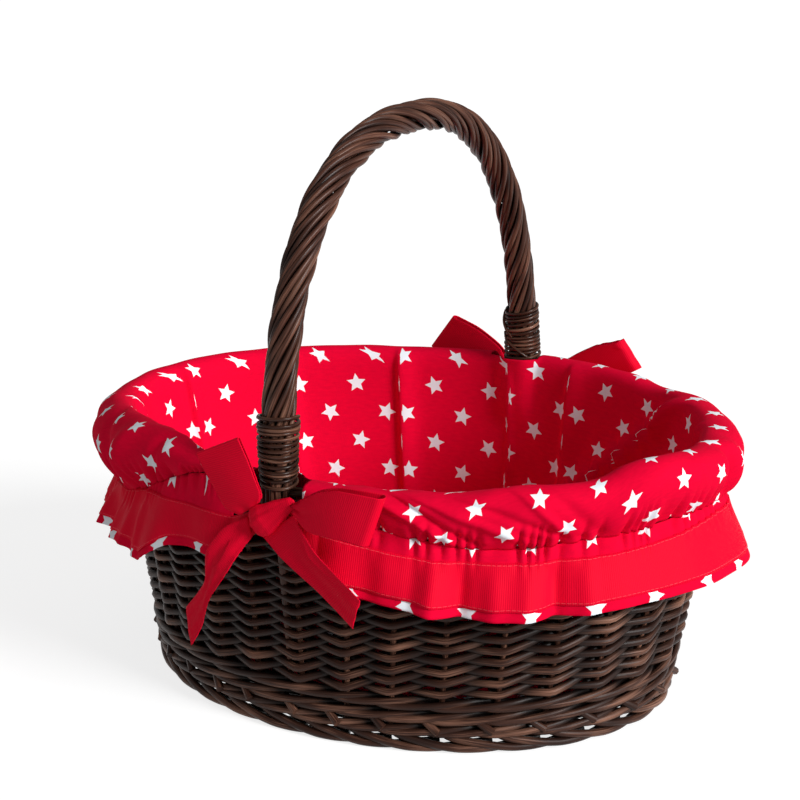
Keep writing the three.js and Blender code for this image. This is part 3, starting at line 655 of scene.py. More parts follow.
FOOT_PATH = (
    (-0.05, -0.5, 16), (0, 0.6, 13), (0.12, 2.4, 11.4), (0.3, 3.6, 9.6), (0.6, 4.2, 7.6), (1.0, 4.8, 5.0),
    (1.4, 4.8, 3.2), (1.8, 3.8, 2.9), (2.1, 2.2, 3.2), (2.5, -1.0, 4.4), (3.0, -4.0, 5.2),
)
BORDER_PATH = (
    (-0.1, 0, -16), (0, 0.4, -14), (0.3, 3.4, -12.2), (0.6, 5.2, -10.8), (1.0, 5.6, -8.8),
    (1.6, 4.6, -5.6), (2.2, 1.4, -3.2), (2.8, -3.0, -2.6), (3.2, -5.4, -3.6),
)
WALE_STROKE = (
    (0, -4.4, 0.8), (0.5, 0, -0.4), (0.75, 3.2, -1.7), (1.0, 4.4, -2.2), (1.5, 4.7, -1.4),
    (2.0, 4.3, 0.4), (2.4, 2.6, 1.9), (2.7, -1.6, 2.3), (3.0, -4.4, 0.8),
)


# Farthest that a foot rod or stake strays, in mm
STRAY = 0.3
# A cut butt: height of its upper end and its drop, in mm, and its length in stakes
BUTT_TOP, BUTT_DROP, BUTT_LENGTH = 23, 7.5, 0.36
# The siding: how far below the border's top it stops, how much deeper its Vs are beside the handle and over
# how many stakes, and how near a weaver's swing comes to a sharp zigzag, which would be 1
SIDING_STOP, DEEPER, NEAR_HANDLE, ZIGZAG = 14.5 * MM, 0.9, 1.5, 0.985


def proud_of_wall(hollow, depth):
    """How proud of the weave points are: 0 that far off the wall's middle, and 1 at that depth above it."""
    # This share sets the painted shade on the willow: full shade at 0, none at 1
    return lambda points: (off_wall(points) - hollow) / depth


class BASKET_OT_foot(bpy.types.Operator):
    """Weaves the rope-like foot border: each stake is brought down, out and along under the wall"""

    bl_idname = "basket.foot"
    bl_label = "Foot border"

    def execute(self, context):
        wall = sizes("wall")
        draw = random.Random(5)
        rods = []
        for k in range(wall.stake_count):
            stray = draw.uniform(-STRAY, STRAY) * MM
            line = woven_line(k, FOOT_PATH, 0, 44, 3, stray)
            radius = wall.foot_rod / 2 * draw.uniform(0.94, 1.02)
            rods.append((line, radius * np.linspace(1, 0.9, len(line))))
        # The foot rods get painted shade where they lie deep in the weave
        rods_piece("foot_rods", rods, ["foot_border"], "weave", seed=11,
                   proud=proud_of_wall(1 * MM, 6 * MM))
        return {"FINISHED"}


class BASKET_OT_stakes(bpy.types.Operator):
    """Sets the upright stakes, from the foot up into the top border"""

    bl_idname = "basket.stakes"
    bl_label = "Stakes"

    def execute(self, context):
        wall = sizes("wall")
        draw = random.Random(3)
        rods = []
        for k in range(wall.stake_count):
            z = np.linspace(12 * MM, wall.rim_height - 8 * MM, 24)
            lean = draw.uniform(-0.12, 0.12) * (z / wall.rim_height)
            wiggle = draw.uniform(-STRAY, STRAY) * MM * np.sin(z * 60 + k)
            line = wall_points(stake_angle(k + lean * 0.25), z, wiggle)
            rods.append((line, wall.stake_diameter / 2 * np.linspace(1.05, 0.9, len(z))))
        nodes = [f"stake_{k + 1:02d}" for k in range(wall.stake_count)]
        rods_piece("stake_rods", rods, nodes, "weave", seed=12)
        return {"FINISHED"}


class BASKET_OT_wale(bpy.types.Operator):
    """Weaves the three-rod wale: each rod goes before two stakes and behind one"""

    bl_idname = "basket.wale"
    bl_label = "Wale"

    def execute(self, context):
        wall = sizes("wall")
        radius = wall.wale_rod / 2
        rows = 3
        low, high = wall.wale_bottom + radius + 1.6 * MM, wall.wale_top - radius - 0.2 * MM
        place, out, rise = np.array(WALE_STROKE, float).T
        draw = random.Random(8)
        rods = []
        for row in range(rows):
            z = low + (high - low) * row / (rows - 1)
            start = wall.stake_count / 2 + 3 + row * 1.0
            for rod in range(3):
                t = np.arange(-0.2, wall.stake_count + 0.35, 0.1)
                phase = np.mod(t, 3)
                wander = 0.35 * MM * np.sin(t * 0.7 + draw.uniform(0, 6))
                line = softened(wall_points(
                    stake_angle(start + rod + t),
                    z + np.interp(phase, place, rise * MM) + wander,
                    np.interp(phase, place, out * MM),
                ), 2)
                girth = radius * (1 + 0.06 * np.sin(t * 0.37 + draw.uniform(0, 6)))
                rods.append((line, girth))
        # Cut butts of the rods stand out between the strokes, one beside each stake
        for k in range(wall.stake_count):
            share = np.linspace(0, 1, 7)
            line = wall_points(
                stake_angle(k - 0.4 + draw.uniform(-0.08, 0.08) + BUTT_LENGTH * share),
                (BUTT_TOP + draw.uniform(-1, 1) - BUTT_DROP * share) * MM,
                (1.5 + draw.uniform(4.2, 6.8) * share) * MM,
            )
            rods.append((line, radius * 1.06))
        # The wale rods get painted shade where they lie deep in the weave
        rods_piece("wale_rods", rods, ["bottom_wale"], "weave", seed=13,
                   proud=proud_of_wall(2.2 * MM, 5 * MM))
        return {"FINISHED"}


class BASKET_OT_siding(bpy.types.Operator):
    """Weaves the French rand: one weaver from each stake, before one and behind one, climbing as it goes"""

    bl_idname = "basket.siding"
    bl_label = "Siding"

    def execute(self, context):
        wall = sizes("wall")
        draw = random.Random(21)
        top = wall.rim_height - SIDING_STOP
        spaces = int(2 * (top - wall.weaver_first) / wall.weaver_climb)
        rods = []
        for k in range(wall.stake_count):
            t = np.arange(-1.15, spaces + 0.3, 0.1)
            # Each weaver dips in a V before every other stake, and deepest beside the handle
            from_handle = (k + t + 8) % 16 - 8.3
            deeper = 1 + DEEPER * np.exp(-(from_handle / NEAR_HANDLE) ** 2)
            dip = wall.weaver_dip * deeper * draw.uniform(0.9, 1.1)
            nearness = 1 - np.abs((t + 1) % 2 - 1)
            swing = np.arcsin(ZIGZAG * np.cos(math.pi * t)) / math.asin(ZIGZAG)
            share = np.clip(t / spaces, 0, 1)
            radius = (wall.weaver_butt + (wall.weaver_tip - wall.weaver_butt) * share) / 2
            radius = radius * draw.uniform(0.93, 1.07)
            reach = wall.stake_diameter / 2 + radius
            wander = 0.4 * MM * np.sin(t * 1.3 + draw.uniform(0, 6)) + draw.uniform(-0.35, 0.35) * MM
            z = wall.weaver_first + wall.weaver_climb * (t + 1) / 2 + dip * (0.5 - nearness)
            rods.append((wall_points(stake_angle(k + t), z + wander * share ** 0.3, reach * swing), radius))
        # The weavers get painted shade where they pass behind the stakes, deep in the weave
        rods_piece("siding_rods", rods, ["side_weave"], "weave", seed=14,
                   proud=proud_of_wall(0.3 * MM, 6.5 * MM))
        return {"FINISHED"}


class BASKET_OT_top_border(bpy.types.Operator):
    """Rolls the stakes' ends into the top border"""

    bl_idname = "basket.top_border"
    bl_label = "Top border"

    def execute(self, context):
        wall = sizes("wall")
        draw = random.Random(6)
        rods = []
        for k in range(wall.stake_count):
            line = woven_line(k, BORDER_PATH, wall.rim_height, 32, 2)
            radius = wall.border_rod / 2 * draw.uniform(0.92, 1.02)
            rods.append((line, radius * np.linspace(1, 0.85, len(line))))
        rods_piece("border_rods", rods, ["top_border"], "weave", seed=15)
        return {"FINISHED"}


class BASKET_OT_base(bpy.types.Operator):
    """Weaves the oval base in pairs of rods, over and under the base sticks"""

    bl_idname = "basket.base"
    bl_label = "Woven base"

    def execute(self, context):
        low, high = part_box("base_weave")
        middle = (low.z + high.z) / 2
        sticks = [f"base_stick_cross_{k + 1}" for k in range(5)]
        sticks += [f"base_stick_long_{k + 1}" for k in range(3)]
        centres = {name: sum(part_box(name), Vector()) / 2 for name in sticks}
        radius = 2.0 * MM
        pitch = 4.7 * MM
        inner = Vector((58 * MM, 20 * MM))
        rounds = int((high.y - inner.y - radius) / pitch)
        rods = []
        for ring in range(rounds):
            share = (ring + 0.5) / rounds
            half_x = inner.x + (high.x - radius - inner.x) * share
            half_y = inner.y + (high.y - radius - inner.y) * share
            # A stick is straight, so each round crosses it at an angle of its own
            crossings = []
            for name, centre in centres.items():
                if "cross" in name:
                    crossings += [math.acos(centre.x / half_x), -math.acos(centre.x / half_x)]
                else:
                    crossings += [math.asin(centre.y / half_y), math.pi - math.asin(centre.y / half_y)]
            crossings = np.sort(np.array(crossings) % FULL_TURN)
            knots = np.concatenate([crossings - FULL_TURN, crossings, crossings + FULL_TURN])
            counts = np.arange(len(knots))
            for rod in range(2):
                turn = np.linspace(0.1 * ring, 0.1 * ring + FULL_TURN, 145)[:-1]
                over = np.cos(math.pi * (np.interp(turn, knots, counts) + rod + ring))
                line = np.stack([
                    half_x * np.cos(turn), half_y * np.sin(turn),
                    middle + over * (4.5 * MM - radius + 0.2 * MM),
                ], -1)
                rods.append((line, radius))
        rods_piece("base_rods", rods, ["base_weave"], "weave", rings=1, seed=16)
        for name in sticks:
            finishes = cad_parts[name].data.materials
            finishes.clear()
            finishes.append(material_named("stick"))
        return {"FINISHED"}


# The handle's middle line, and points on circles round it


def handle_line(count=1201):
    """The handle's middle line from front to rear, and distances along it."""
    handle, wall = sizes("handle"), sizes("wall")
    spread = wall_halves(wall.rim_height)[1] + handle.out
    turn = np.linspace(0, math.pi, count)
    power = 2 / handle.squareness
    y = -np.sign(np.cos(turn)) * np.abs(np.cos(turn)) ** power * spread
    z = wall.rim_height + (handle.top - wall.rim_height) * np.abs(np.sin(turn)) ** power
    line = np.stack([y * handle.aside / spread, y, z], -1)
    return line, lengths_along(line)


def round_handle(distance, radius, turn):
    """Points on circles round the handle, at distances along it from the front border."""
    handle, wall = sizes("handle"), sizes("wall")
    line, table = handle_line()
    spread = wall_halves(wall.rim_height)[1] + handle.out
    across = np.array([spread, -handle.aside, 0])
    across /= np.linalg.norm(across)
    step = 0.5 * MM
    inside = np.clip(distance, step, table[-1] - step)
    at = np.stack([np.interp(inside, table, line[:, i]) for i in range(3)], -1)
    ahead = np.stack([np.interp(inside + step, table, line[:, i]) for i in range(3)], -1)
    behind = np.stack([np.interp(inside - step, table, line[:, i]) for i in range(3)], -1)
    along = ahead - behind
    along /= np.linalg.norm(along, axis=-1, keepdims=True)
    at = at + along * (np.asarray(distance) - inside)[..., None]
    in_plane = np.cross(across, along)
    radius, turn = np.broadcast_to(radius, at.shape[:-1])[..., None], np.asarray(turn)[..., None]
    return at + in_plane * radius * np.cos(turn) + across * radius * np.sin(turn)


def twist_table():
    """Turns that the rods have made round the core at each of many distances along the handle."""
    handle = sizes("handle")
    total = handle_line()[1][-1]
    distance = np.linspace(0, total, 401)
    over_arch = smooth(np.minimum(distance, total - distance) / 0.11)
    rate = 1 / handle.lay_foot + (1 / handle.lay - 1 / handle.lay_foot) * over_arch
    return distance, np.cumsum(rate) * (distance[1] - distance[0])


class BASKET_OT_handle(bpy.types.Operator):
    """Twists the thin rods round the handle's core, which runs down inside the siding"""

    bl_idname = "basket.handle"
    bl_label = "Handle"

    def execute(self, context):
        handle, wall = sizes("handle"), sizes("wall")
        arch, along_arch = handle_line(161)
        total = handle_line()[1][-1]
        twist_places, twists = twist_table()
        draw = random.Random(31)
        ring = handle.rope / 2 - handle.rod / 2
        tail = 15 * MM
        rods = []
        for j in range(handle.rod_count):
            distance = np.linspace(-tail, total + tail, 220)
            wander = sum(
                draw.uniform(0.04, 0.1)
                * np.sin(FULL_TURN * distance / draw.uniform(0.08, 0.3) + draw.uniform(0, 6))
                for _ in range(2)
            )
            turn = FULL_TURN * (j / handle.rod_count + np.interp(distance, twist_places, twists)) + wander
            radius = handle.rod / 2 * draw.uniform(0.93, 1.04) * (1 + 0.03 * np.sin(distance * 40 + j))
            lift = 0.35 * MM * (-1) ** j + 0.5 * MM * np.sin(distance * 47 + j * 2.1)
            line = round_handle(distance, ring + lift, turn)
            rods.append((line, radius))
        # The twisted rods get painted shade where they lie deep between their neighbours, towards the core
        rods_piece("handle_rods", rods, ["handle_rope"], "rod", seed=17,
                   proud=lambda points: (off_handle(points) - handle.rope / 2 + 2.8 * MM) / (3.2 * MM))
        # The core's ends are cut to long points and pushed down beside the stakes
        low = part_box("handle_core")[0].z
        z = np.linspace(low, wall.rim_height - 2 * MM, 30)
        root = np.stack([-handle.aside + 0 * z, -wall_halves(z)[1] - handle.out * z / wall.rim_height, z], -1)
        slype = np.interp(z, [low, wall.rim_height - 5 * MM], [handle.root_tip, handle.core])
        line = np.concatenate([root, arch, (root * (-1, -1, 1))[::-1]])
        thickness = np.concatenate([slype, np.full(len(along_arch), handle.core), slype[::-1]])
        rods_piece("handle_core_rod", [(line, thickness / 2)], ["handle_core"],
                   "rod", seed=20)
        return {"FINISHED"}


class BASKET_OT_bindings(bpy.types.Operator):
    """Winds a thin rod round each foot of the handle, its end tucked across the turns"""

    bl_idname = "basket.bindings"
    bl_label = "Handle bindings"

    def execute(self, context):
        handle = sizes("handle")
        total = handle_line()[1][-1]
        length_bound = handle.binding_pitch * handle.binding_turns
        places = {
            "front": handle.rise_front,
            "rear": total - handle.rise_rear - length_bound,
        }
        for end, (name, first) in enumerate(places.items()):
            draw = random.Random(41 + end)
            turns = np.arange(-0.35, handle.binding_turns + 0.3, 1 / 36)
            slack = sum(
                draw.uniform(0.2, 0.5) * MM * np.sin(turns * draw.uniform(0.8, 3.1) + draw.uniform(0, 6))
                for _ in range(3)
            )
            # The turns slope, each a little differently, and a few stand off the rope
            lean = np.interp(turns, [0, handle.binding_turns], [-2.1, 0.5]) + 0.5 * np.sin(turns * 0.9 + end)
            slant = lean * MM * np.sin(FULL_TURN * turns + 0.6)
            loose = 0.7 * MM * np.clip(np.sin(turns * 2.9 + 1) - 0.4, 0, 1)
            flared = np.interp(turns, [0, handle.binding_turns], [-0.4, 1.2]) * MM
            radius = handle.rope / 2 + handle.binding_rod / 2 - 0.1 * MM + loose + flared
            distance = first + handle.binding_pitch * turns + slack + slant
            rods = [(round_handle(distance, radius, FULL_TURN * turns), handle.binding_rod / 2)]
            # Its two ends are tucked aslant across the turns
            for start, stop, turn_from, turn_to in ((0.88, 0.45, 2.3, 4.1), (0.5, 0.08, 3.3, 4.6)):
                tuck = np.linspace(0, 1, 26)
                rods.append((
                    round_handle(
                        first + length_bound * (start + (stop - start) * tuck),
                        handle.rope / 2 + 0.9 * handle.binding_rod + 0.8 * MM * np.sin(math.pi * tuck),
                        turn_from + (turn_to - turn_from) * tuck,
                    ),
                    handle.binding_rod / 2 * 0.9,
                ))
            # The winding gets painted shade where it lies close against the rope
            rods_piece(f"handle_binding_rods_{name}", rods, [f"handle_binding_{name}"],
                       "binding", seed=18 + end,
                       proud=lambda points: (off_handle(points) - handle.rope / 2 - 0.6 * MM) / (1.8 * MM))
        return {"FINISHED"}


# Pieces of cloth


def cuff_crest():
    """Height of the cloth's crest where it hangs evenly."""
    cloth, wall = sizes("cloth"), sizes("wall")
    return wall.rim_height + cloth.crest_rise


def flat_distance(angle):
    """Distance along the flat cloth: it is fuller than the wall, and gathered to it."""
    return distance_at(angle) * sizes("cloth").fullness


def pleated_distance(angle, fall):
    """The same inside the liner, where the cloth hangs plain between pleats that take up the fullness."""
    cloth = sizes("cloth")
    girth = distance_at(1.5 * math.pi)
    taken = girth * (cloth.fullness - 1) / len(PLEATS)
    flat = distance_at(angle) + 0 * fall
    for turn, width, _, slant in PLEATS:
        at = distance_at(math.radians(turn) - math.pi / 2) - slant * fall
        flat = flat + taken * smooth(((distance_at(angle) - at) / (width * MM) + 0.07) / 0.14)
    return flat


def ring_angles(segments):
    """Angles round the wall, with columns exactly at the edges of the two handle slits."""
    cloth = sizes("cloth")
    long = wall_halves(cuff_crest())[0]
    edge = math.asin(cloth.slit_half / long)
    front = np.linspace(-math.pi / 2 - edge, -math.pi / 2 + edge, SLIT_COLUMNS + 1)[:-1]
    from_front, to_rear = distance_at(-math.pi / 2 + edge), distance_at(math.pi / 2 - edge)
    right = angle_at(np.linspace(from_front, to_rear, segments))[:-1]
    return np.concatenate([front, right, front + math.pi, right + math.pi, [1.5 * math.pi - edge]])


# Corners of the liner's section by number, from the floor's edge up the inside, over the crest and out
FLOOR_EDGE, INSIDE, INSIDE_TOP, INNER_TURN, NEAR_CREST, CREST, SHOULDER = 3, 7, 8, 9, 10, 11, 12


def liner_floor_height():
    """Height of the cloth on the base."""
    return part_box("liner")[0].z + 0.9 * MM


def liner_section():
    """The liner's section from floor to elastic: length, place off the wall, height, and corners' lengths."""
    cloth, wall = sizes("cloth"), sizes("wall")
    floor, crest = liner_floor_height() / MM, cuff_crest() / MM
    hem, bulge = (wall.rim_height - cloth.cuff_drop) / MM, cloth.cuff_reach / MM
    profile = np.array([
        [-70, floor], [-40, floor], [-18, floor], [-10.2, floor + 2.2], [-8.6, floor + 9], [-8.8, 60],
        [-8.9, 110], [-8.8, 150], [-8.8, 168], [-7.4, crest - 5], [-4.2, crest - 1.2], [0.4, crest],
        [6.0, crest - 1.0], [11.4, crest - 4.4], [15.4, crest - 10], [bulge, crest - 17], [16.6, crest - 24],
        [14.4, crest - 31.5], [11.4, hem + 4.6], [9.2, hem], [9.0, hem - 1.0],
    ]) * MM
    table = lengths_along(profile)
    inside = np.linspace(0, table[INSIDE_TOP], 20)[:-1]
    v = np.concatenate([inside, np.linspace(table[INSIDE_TOP], table[-1], 36)])
    out, z = (np.interp(v, table, profile[:, i]) for i in (0, 1))
    for _ in range(6):
        out[4:-1] = (out[3:-2] + 2 * out[4:-1] + out[5:]) / 4
        z[4:-1] = (z[3:-2] + 2 * z[4:-1] + z[5:]) / 4
    return v, out, z, table


# Depths of the puckers at the elastic, the cuff's long waves, the crest's roll at the right end, and the
# push of a handle foot; then the turn and reach of that roll, and the reach of a foot
PUCKER, WAVE, ROLL, PUSH = 3.4 * MM, 1.1 * MM, 7 * MM, 3.6 * MM
ROLL_TURN, ROLL_REACH, FOOT_REACH = 108, 0.075, 14 * MM


class BASKET_OT_liner(bpy.types.Operator):
    """Hangs the star-print liner inside the wall and turns its cuff out over the border"""

    bl_idname = "basket.liner"
    bl_label = "Liner"

    def execute(self, context):
        cloth, wall, handle = sizes("cloth"), sizes("wall"), sizes("handle")
        crest, hem = cuff_crest(), wall.rim_height - cloth.cuff_drop
        v, out, z, table = liner_section()
        angle = ring_angles(396)
        v, out, z = v[:, None], out[:, None], z[:, None]
        columns = angle[None, :] + 0 * v
        crest_at = crest + sway(CREST_SWAY, angle)[None, :]
        hem_at = hem + sway(ELASTIC_SWAY, angle)[None, :]
        outer = v > table[CREST]
        height = (crest_at - hem_at) / (crest - hem)
        z_outer = hem_at + (z - hem) * height
        z_inner = z + (crest_at - crest) * smooth((z - 140 * MM) / (crest - 140 * MM))
        low_side = np.sin(math.pi * np.clip((crest - z) / (crest - hem), 0, 1))
        filled = out + (out - 9 * MM) * (np.clip(height, 0.2, 1.1) ** 0.6 - 1) * (out > 9 * MM)
        out = np.where(outer, filled + sway(BULGE_SWAY, angle)[None, :] * low_side, out)
        z = np.where(outer, z_outer, z_inner)
        # Puckers grow towards the elastic; softer folds run over the cuff and pleats down the inside
        along = flat_distance(angle)[None, :]
        near_edge = smooth((v - table[-1] + 26 * MM) / (22 * MM))
        on_cuff = smooth((v - table[INNER_TURN]) / (12 * MM)) * smooth((table[-1] - v) / (6 * MM))
        inside = smooth((v - table[FLOOR_EDGE]) / (60 * MM))
        inside = inside * (1 - smooth((v - table[INSIDE_TOP]) / (25 * MM)))
        out = out + PUCKER * near_edge * gathers(along)
        slanted = along + 0.9 * (v - table[CREST])
        out = out + WAVE * on_cuff * (
            0.55 * np.sin(FULL_TURN * slanted / 0.071 + 1) + 0.45 * np.sin(FULL_TURN * slanted / 0.043 + 3))
        for turn, width, depth, slant in CUFF_FOLDS:
            place = (past(angle, turn)[None, :] - slant * (v - table[SHOULDER])) / (width * MM)
            out = out + depth * MM * on_cuff * np.exp(-place ** 2)
        for turn, width, depth, slant in PLEATS:
            place = (past(angle, turn)[None, :] + slant * (table[INSIDE_TOP] - v)) / (width * MM)
            out = out - depth * MM * inside * np.exp(-np.where(place < 0, place, 4 * place) ** 2)
        # At the right end the crest is rolled over more loosely, and stands further in
        rolled = np.exp(-((v - table[NEAR_CREST]) / (15 * MM)) ** 2)
        rolled = rolled * np.exp(-(past(angle, ROLL_TURN) / ROLL_REACH) ** 2)[None, :]
        out = out - ROLL * rolled
        # Inside a handle slit the cloth stops at the crest and is pushed in by the handle's foot
        in_slit = np.zeros(len(angle), bool)
        for first in (0, len(angle) // 2):
            in_slit[first + 1:first + SLIT_COLUMNS] = True
        side = np.where(np.sin(angle) < 0, -1, 1)
        aside = np.cos(angle) * wall_halves(wall.rim_height)[0] - handle.aside * side
        behind_foot = np.exp(-(aside / FOOT_REACH) ** 4)[None, :]
        behind_foot = behind_foot * smooth((v - table[INSIDE] + 15 * MM) / (15 * MM))
        straight = np.where(v < table[CREST], np.minimum(out, -9.2 * MM), out)
        out = np.where(v < table[CREST], out + (straight - out) * behind_foot - PUSH * behind_foot, out)
        grid = wall_points(columns, z, out)
        turned_out = smooth((v - table[INSIDE_TOP]) / (table[SHOULDER] - table[INSIDE_TOP]))
        inner = pleated_distance(angle[None, :], table[INSIDE_TOP] - v)
        # Where the crest is raised the cloth is longer, so that the stars keep their shape
        rise = np.cumsum(np.linalg.norm(np.diff(grid, axis=0, prepend=grid[:1]), axis=2), axis=0)
        rise = np.mean([np.roll(rise, step, axis=1) for step in range(-14, 15)], axis=0)
        uv = np.stack([inner + (along - inner) * turned_out, rise], -1)
        keep = ~(in_slit[None, :] & (v > table[NEAR_CREST]))
        grid[:, -1] = grid[:, 0]
        piece = cloth_piece("liner_cloth", grid, uv, ["liner"], "cloth",
                            cloth.thickness, closed=True, keep=keep)
        return {"FINISHED"}


class BASKET_OT_liner_floor(bpy.types.Operator):
    """Closes the liner's floor with an oval of the same cloth"""

    bl_idname = "basket.liner_floor"
    bl_label = "Liner floor"

    def execute(self, context):
        cloth = sizes("cloth")
        floor = liner_floor_height()
        angle = np.linspace(-math.pi / 2, 1.5 * math.pi, 121)
        share = np.linspace(0.0, 1.0, 14)[:, None]
        rim = wall_points(angle, floor, -69.6 * MM)
        grid = rim[None, :, :] * np.stack([share, share, 1 + 0 * share], -1)
        uv = grid[:, :, :2].copy()
        grid[:, :, 2] += 0.35 * MM * np.sin(grid[:, :, 0] * 70) * np.sin(grid[:, :, 1] * 90) * (1 - share)
        grid[:, -1] = grid[:, 0]
        piece = cloth_piece("liner_floor_cloth", grid, uv, ["liner"], "cloth",
                            cloth.thickness, closed=True)
        return {"FINISHED"}


def frill_span(end):
    """First and last angle of a half of the frill, from the front slit round one end to the rear."""
    cloth = sizes("cloth")
    half = wall_halves(0.12)[0]
    start = -math.acos(end * cloth.frill_gap / half)
    stop = math.acos(end * (cloth.frill_gap_rear + end * 8 * MM) / half)
    return start, stop if end > 0 else stop - FULL_TURN


def frill_points(angle, level, end, lift=0.0):
    """Points lifted off the frill: level 0 is the elastic, 1 and 2 the ribbon's edges, and 3 the hem."""
    cloth, wall = sizes("cloth"), sizes("wall")
    start, stop = frill_span(end)
    upright = cloth.frill_drop / math.hypot(cloth.frill_drop, cloth.flare_side)
    distance = np.abs(distance_at(angle) - distance_at(start))
    total = abs(distance_at(stop) - distance_at(start))
    to_end = np.minimum(distance, total - distance)
    even_top = wall.rim_height - cloth.cuff_drop - 0.8 * MM
    top = even_top + sway(ELASTIC_SWAY, angle)
    ribbon_top = even_top - cloth.header * upright + sway(RIBBON_SWAY, angle)
    hem = even_top - (cloth.header + cloth.ribbon_width + cloth.hem) * upright + sway(HEM_SWAY, angle)
    ribbon_low = hem + cloth.hem * upright
    lines = enumerate((top, ribbon_top, ribbon_low, hem))
    z = sum(line * np.clip(1 - np.abs(level - k), 0, 1) for k, line in lines)
    share = np.clip((top - z) / cloth.frill_drop, 0, 1.2)
    flare = cloth.flare_side + (cloth.flare_end - cloth.flare_side) * np.cos(angle) ** 2
    out = 9 * MM + flare * share * (1 - 0.35 * np.exp(-(to_end / 0.045) ** 2))
    waved = 1 - 0.75 * np.exp(-(past(angle, 92) / 0.09) ** 4)
    out = out + cloth.fold_depth * waved * share * np.sin(FULL_TURN * distance * 1.06 / cloth.fold_length)
    for turn, width, depth in FRILL_FOLDS:
        out = out + depth * MM * smooth(share / 0.6) * np.exp(-(past(angle, turn) / (width * MM)) ** 2)
    out = out + 2.6 * MM * gathers(flat_distance(angle)) * np.exp(-((top - z) / (9 * MM)) ** 2)
    return wall_points(angle, z, np.maximum(out, 8.6 * MM) + lift)


class BASKET_OT_frills(bpy.types.Operator):
    """Hangs the gathered frill below the elastic, in two halves"""

    bl_idname = "basket.frills"
    bl_label = "Frill"

    def execute(self, context):
        cloth = sizes("cloth")
        ribbon_low = cloth.header + cloth.ribbon_width
        depths = [0, cloth.header, ribbon_low, ribbon_low + cloth.hem]
        for name, end in ENDS:
            angle = np.linspace(*frill_span(end), 420)[None, :]
            level = np.concatenate([
                np.linspace(0, 1, 7), np.linspace(1, 2, 13)[1:], np.linspace(2, 3, 5)[1:],
            ])[:, None]
            grid = frill_points(angle, level, end)
            # A row of stars runs along the middle of the hem, and the rows above follow from it
            up = depths[-1] - np.interp(level, range(4), depths) - cloth.hem / 2
            uv = np.stack([flat_distance(angle) + 0 * level, 10.5 * cloth.star_row - up + 0 * angle], -1)
            piece = cloth_piece(f"frill_cloth_{name}", grid, uv, [f"frill_{name}"],
                                "cloth", cloth.thickness)
        return {"FINISHED"}


class BASKET_OT_elastics(bpy.types.Operator):
    """Threads the elastic behind the cuff's edge"""

    bl_idname = "basket.elastics"
    bl_label = "Elastic"

    def execute(self, context):
        for name, end in ENDS:
            low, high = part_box(f"elastic_{name}")
            z = (low.z + high.z) / 2
            half = wall_halves(z)[0]
            reach = math.acos(min(abs(low.x), abs(high.x)) / half)
            turn = np.linspace(-reach, reach, 140) + (0 if end > 0 else math.pi)
            line = wall_points(turn, z + sway(ELASTIC_SWAY, turn), 6.6 * MM)
            rods_piece(f"elastic_cord_{name}", [(line, 1.1 * MM)], [f"elastic_{name}"],
                       "elastic", seed=25)
        return {"FINISHED"}


# Ribbon and bows, as seen from outside: x and height in millimetres along two edges of each piece of ribbon,
# and how far the edge stands off the wall. The rear bow is turned half round. The edges' places were worked
# out from points seen in the photo, then rounded.

SHORT_TAIL = (
    ((-3, 142, 22), (11, 133, 25), (23, 126, 26), (39, 116, 26), (53, 106, 27),
     (65, 96, 27)),
    ((20, 160, 22), (31, 152, 28), (41, 141, 30), (58, 130, 32), (69, 123, 33),
     (74, 118, 32)),
)
LONG_TAIL = (
    ((-14, 153, 22), (-30, 145, 25), (-37, 136, 26), (-43, 128, 27), (-44, 117, 27),
     (-45, 106, 26), (-54, 95, 23), (-66, 82, 20)),
    ((-11, 140, 22), (-17, 130, 28), (-19, 126, 31), (-25, 116, 32), (-31, 108, 32),
     (-41, 94, 30), (-47, 75, 28), (-58, 59, 26)),
)
LOOPS = {
    "front": (
        (((-20, 153, 22), (-30, 156, 24), (-35, 169, 27), (-41, 180, 29), (-46, 190, 30)),
         ((-6, 163, 22), (-2, 169, 24), (-5, 181, 27), (-8, 192, 29), (-14, 205, 30)), 2.5),
        (((21, 164, 24), (27, 157, 26), (34, 153, 28), (48, 153, 30), (60, 153, 30), (70, 151, 28)),
         ((19, 167, 24), (30, 174, 26), (41, 180, 28), (56, 184, 30), (71, 184, 30), (82, 183, 28)),
         9),
    ),
    "rear": (
        (((12, 150, 24), (30, 152, 26), (48, 158, 27), (66, 166, 27), (83, 176, 27)),
         ((11, 159, 24), (18, 172, 26), (26, 184, 27), (46, 196, 27), (64, 202, 27)), 6),
        (((-11, 151, 24), (-30, 154, 26), (-50, 161, 27), (-70, 171, 27), (-87, 181, 27)),
         ((-10, 161, 24), (-20, 173, 26), (-30, 182, 27), (-52, 195, 27), (-72, 201, 27)), 9),
    ),
}
# The knot runs from its full end up to its drawn end; the sewn ribbon is led to two lines beside it
KNOT_ENDS = ((-10, 147), (20, 169))
TIE_TARGETS = {-1: ((-11, 157), (-8, 144)), 1: ((15, 161), (10, 149))}
TIE_OUT = 17


def on_front(x, z, out):
    """Points in front of the wall at the height of the bows."""
    x, z, out = np.broadcast_arrays(*(np.asarray(v, float) for v in (x, z, out)))
    return np.stack([x, -(wall_halves(sizes("cloth").bow_height)[1] + out), z], -1)


def half_turn(grid, rear):
    """The grid turned half round to the rear, or as it is."""
    return grid * np.array([-1, -1, 1]) if rear else grid


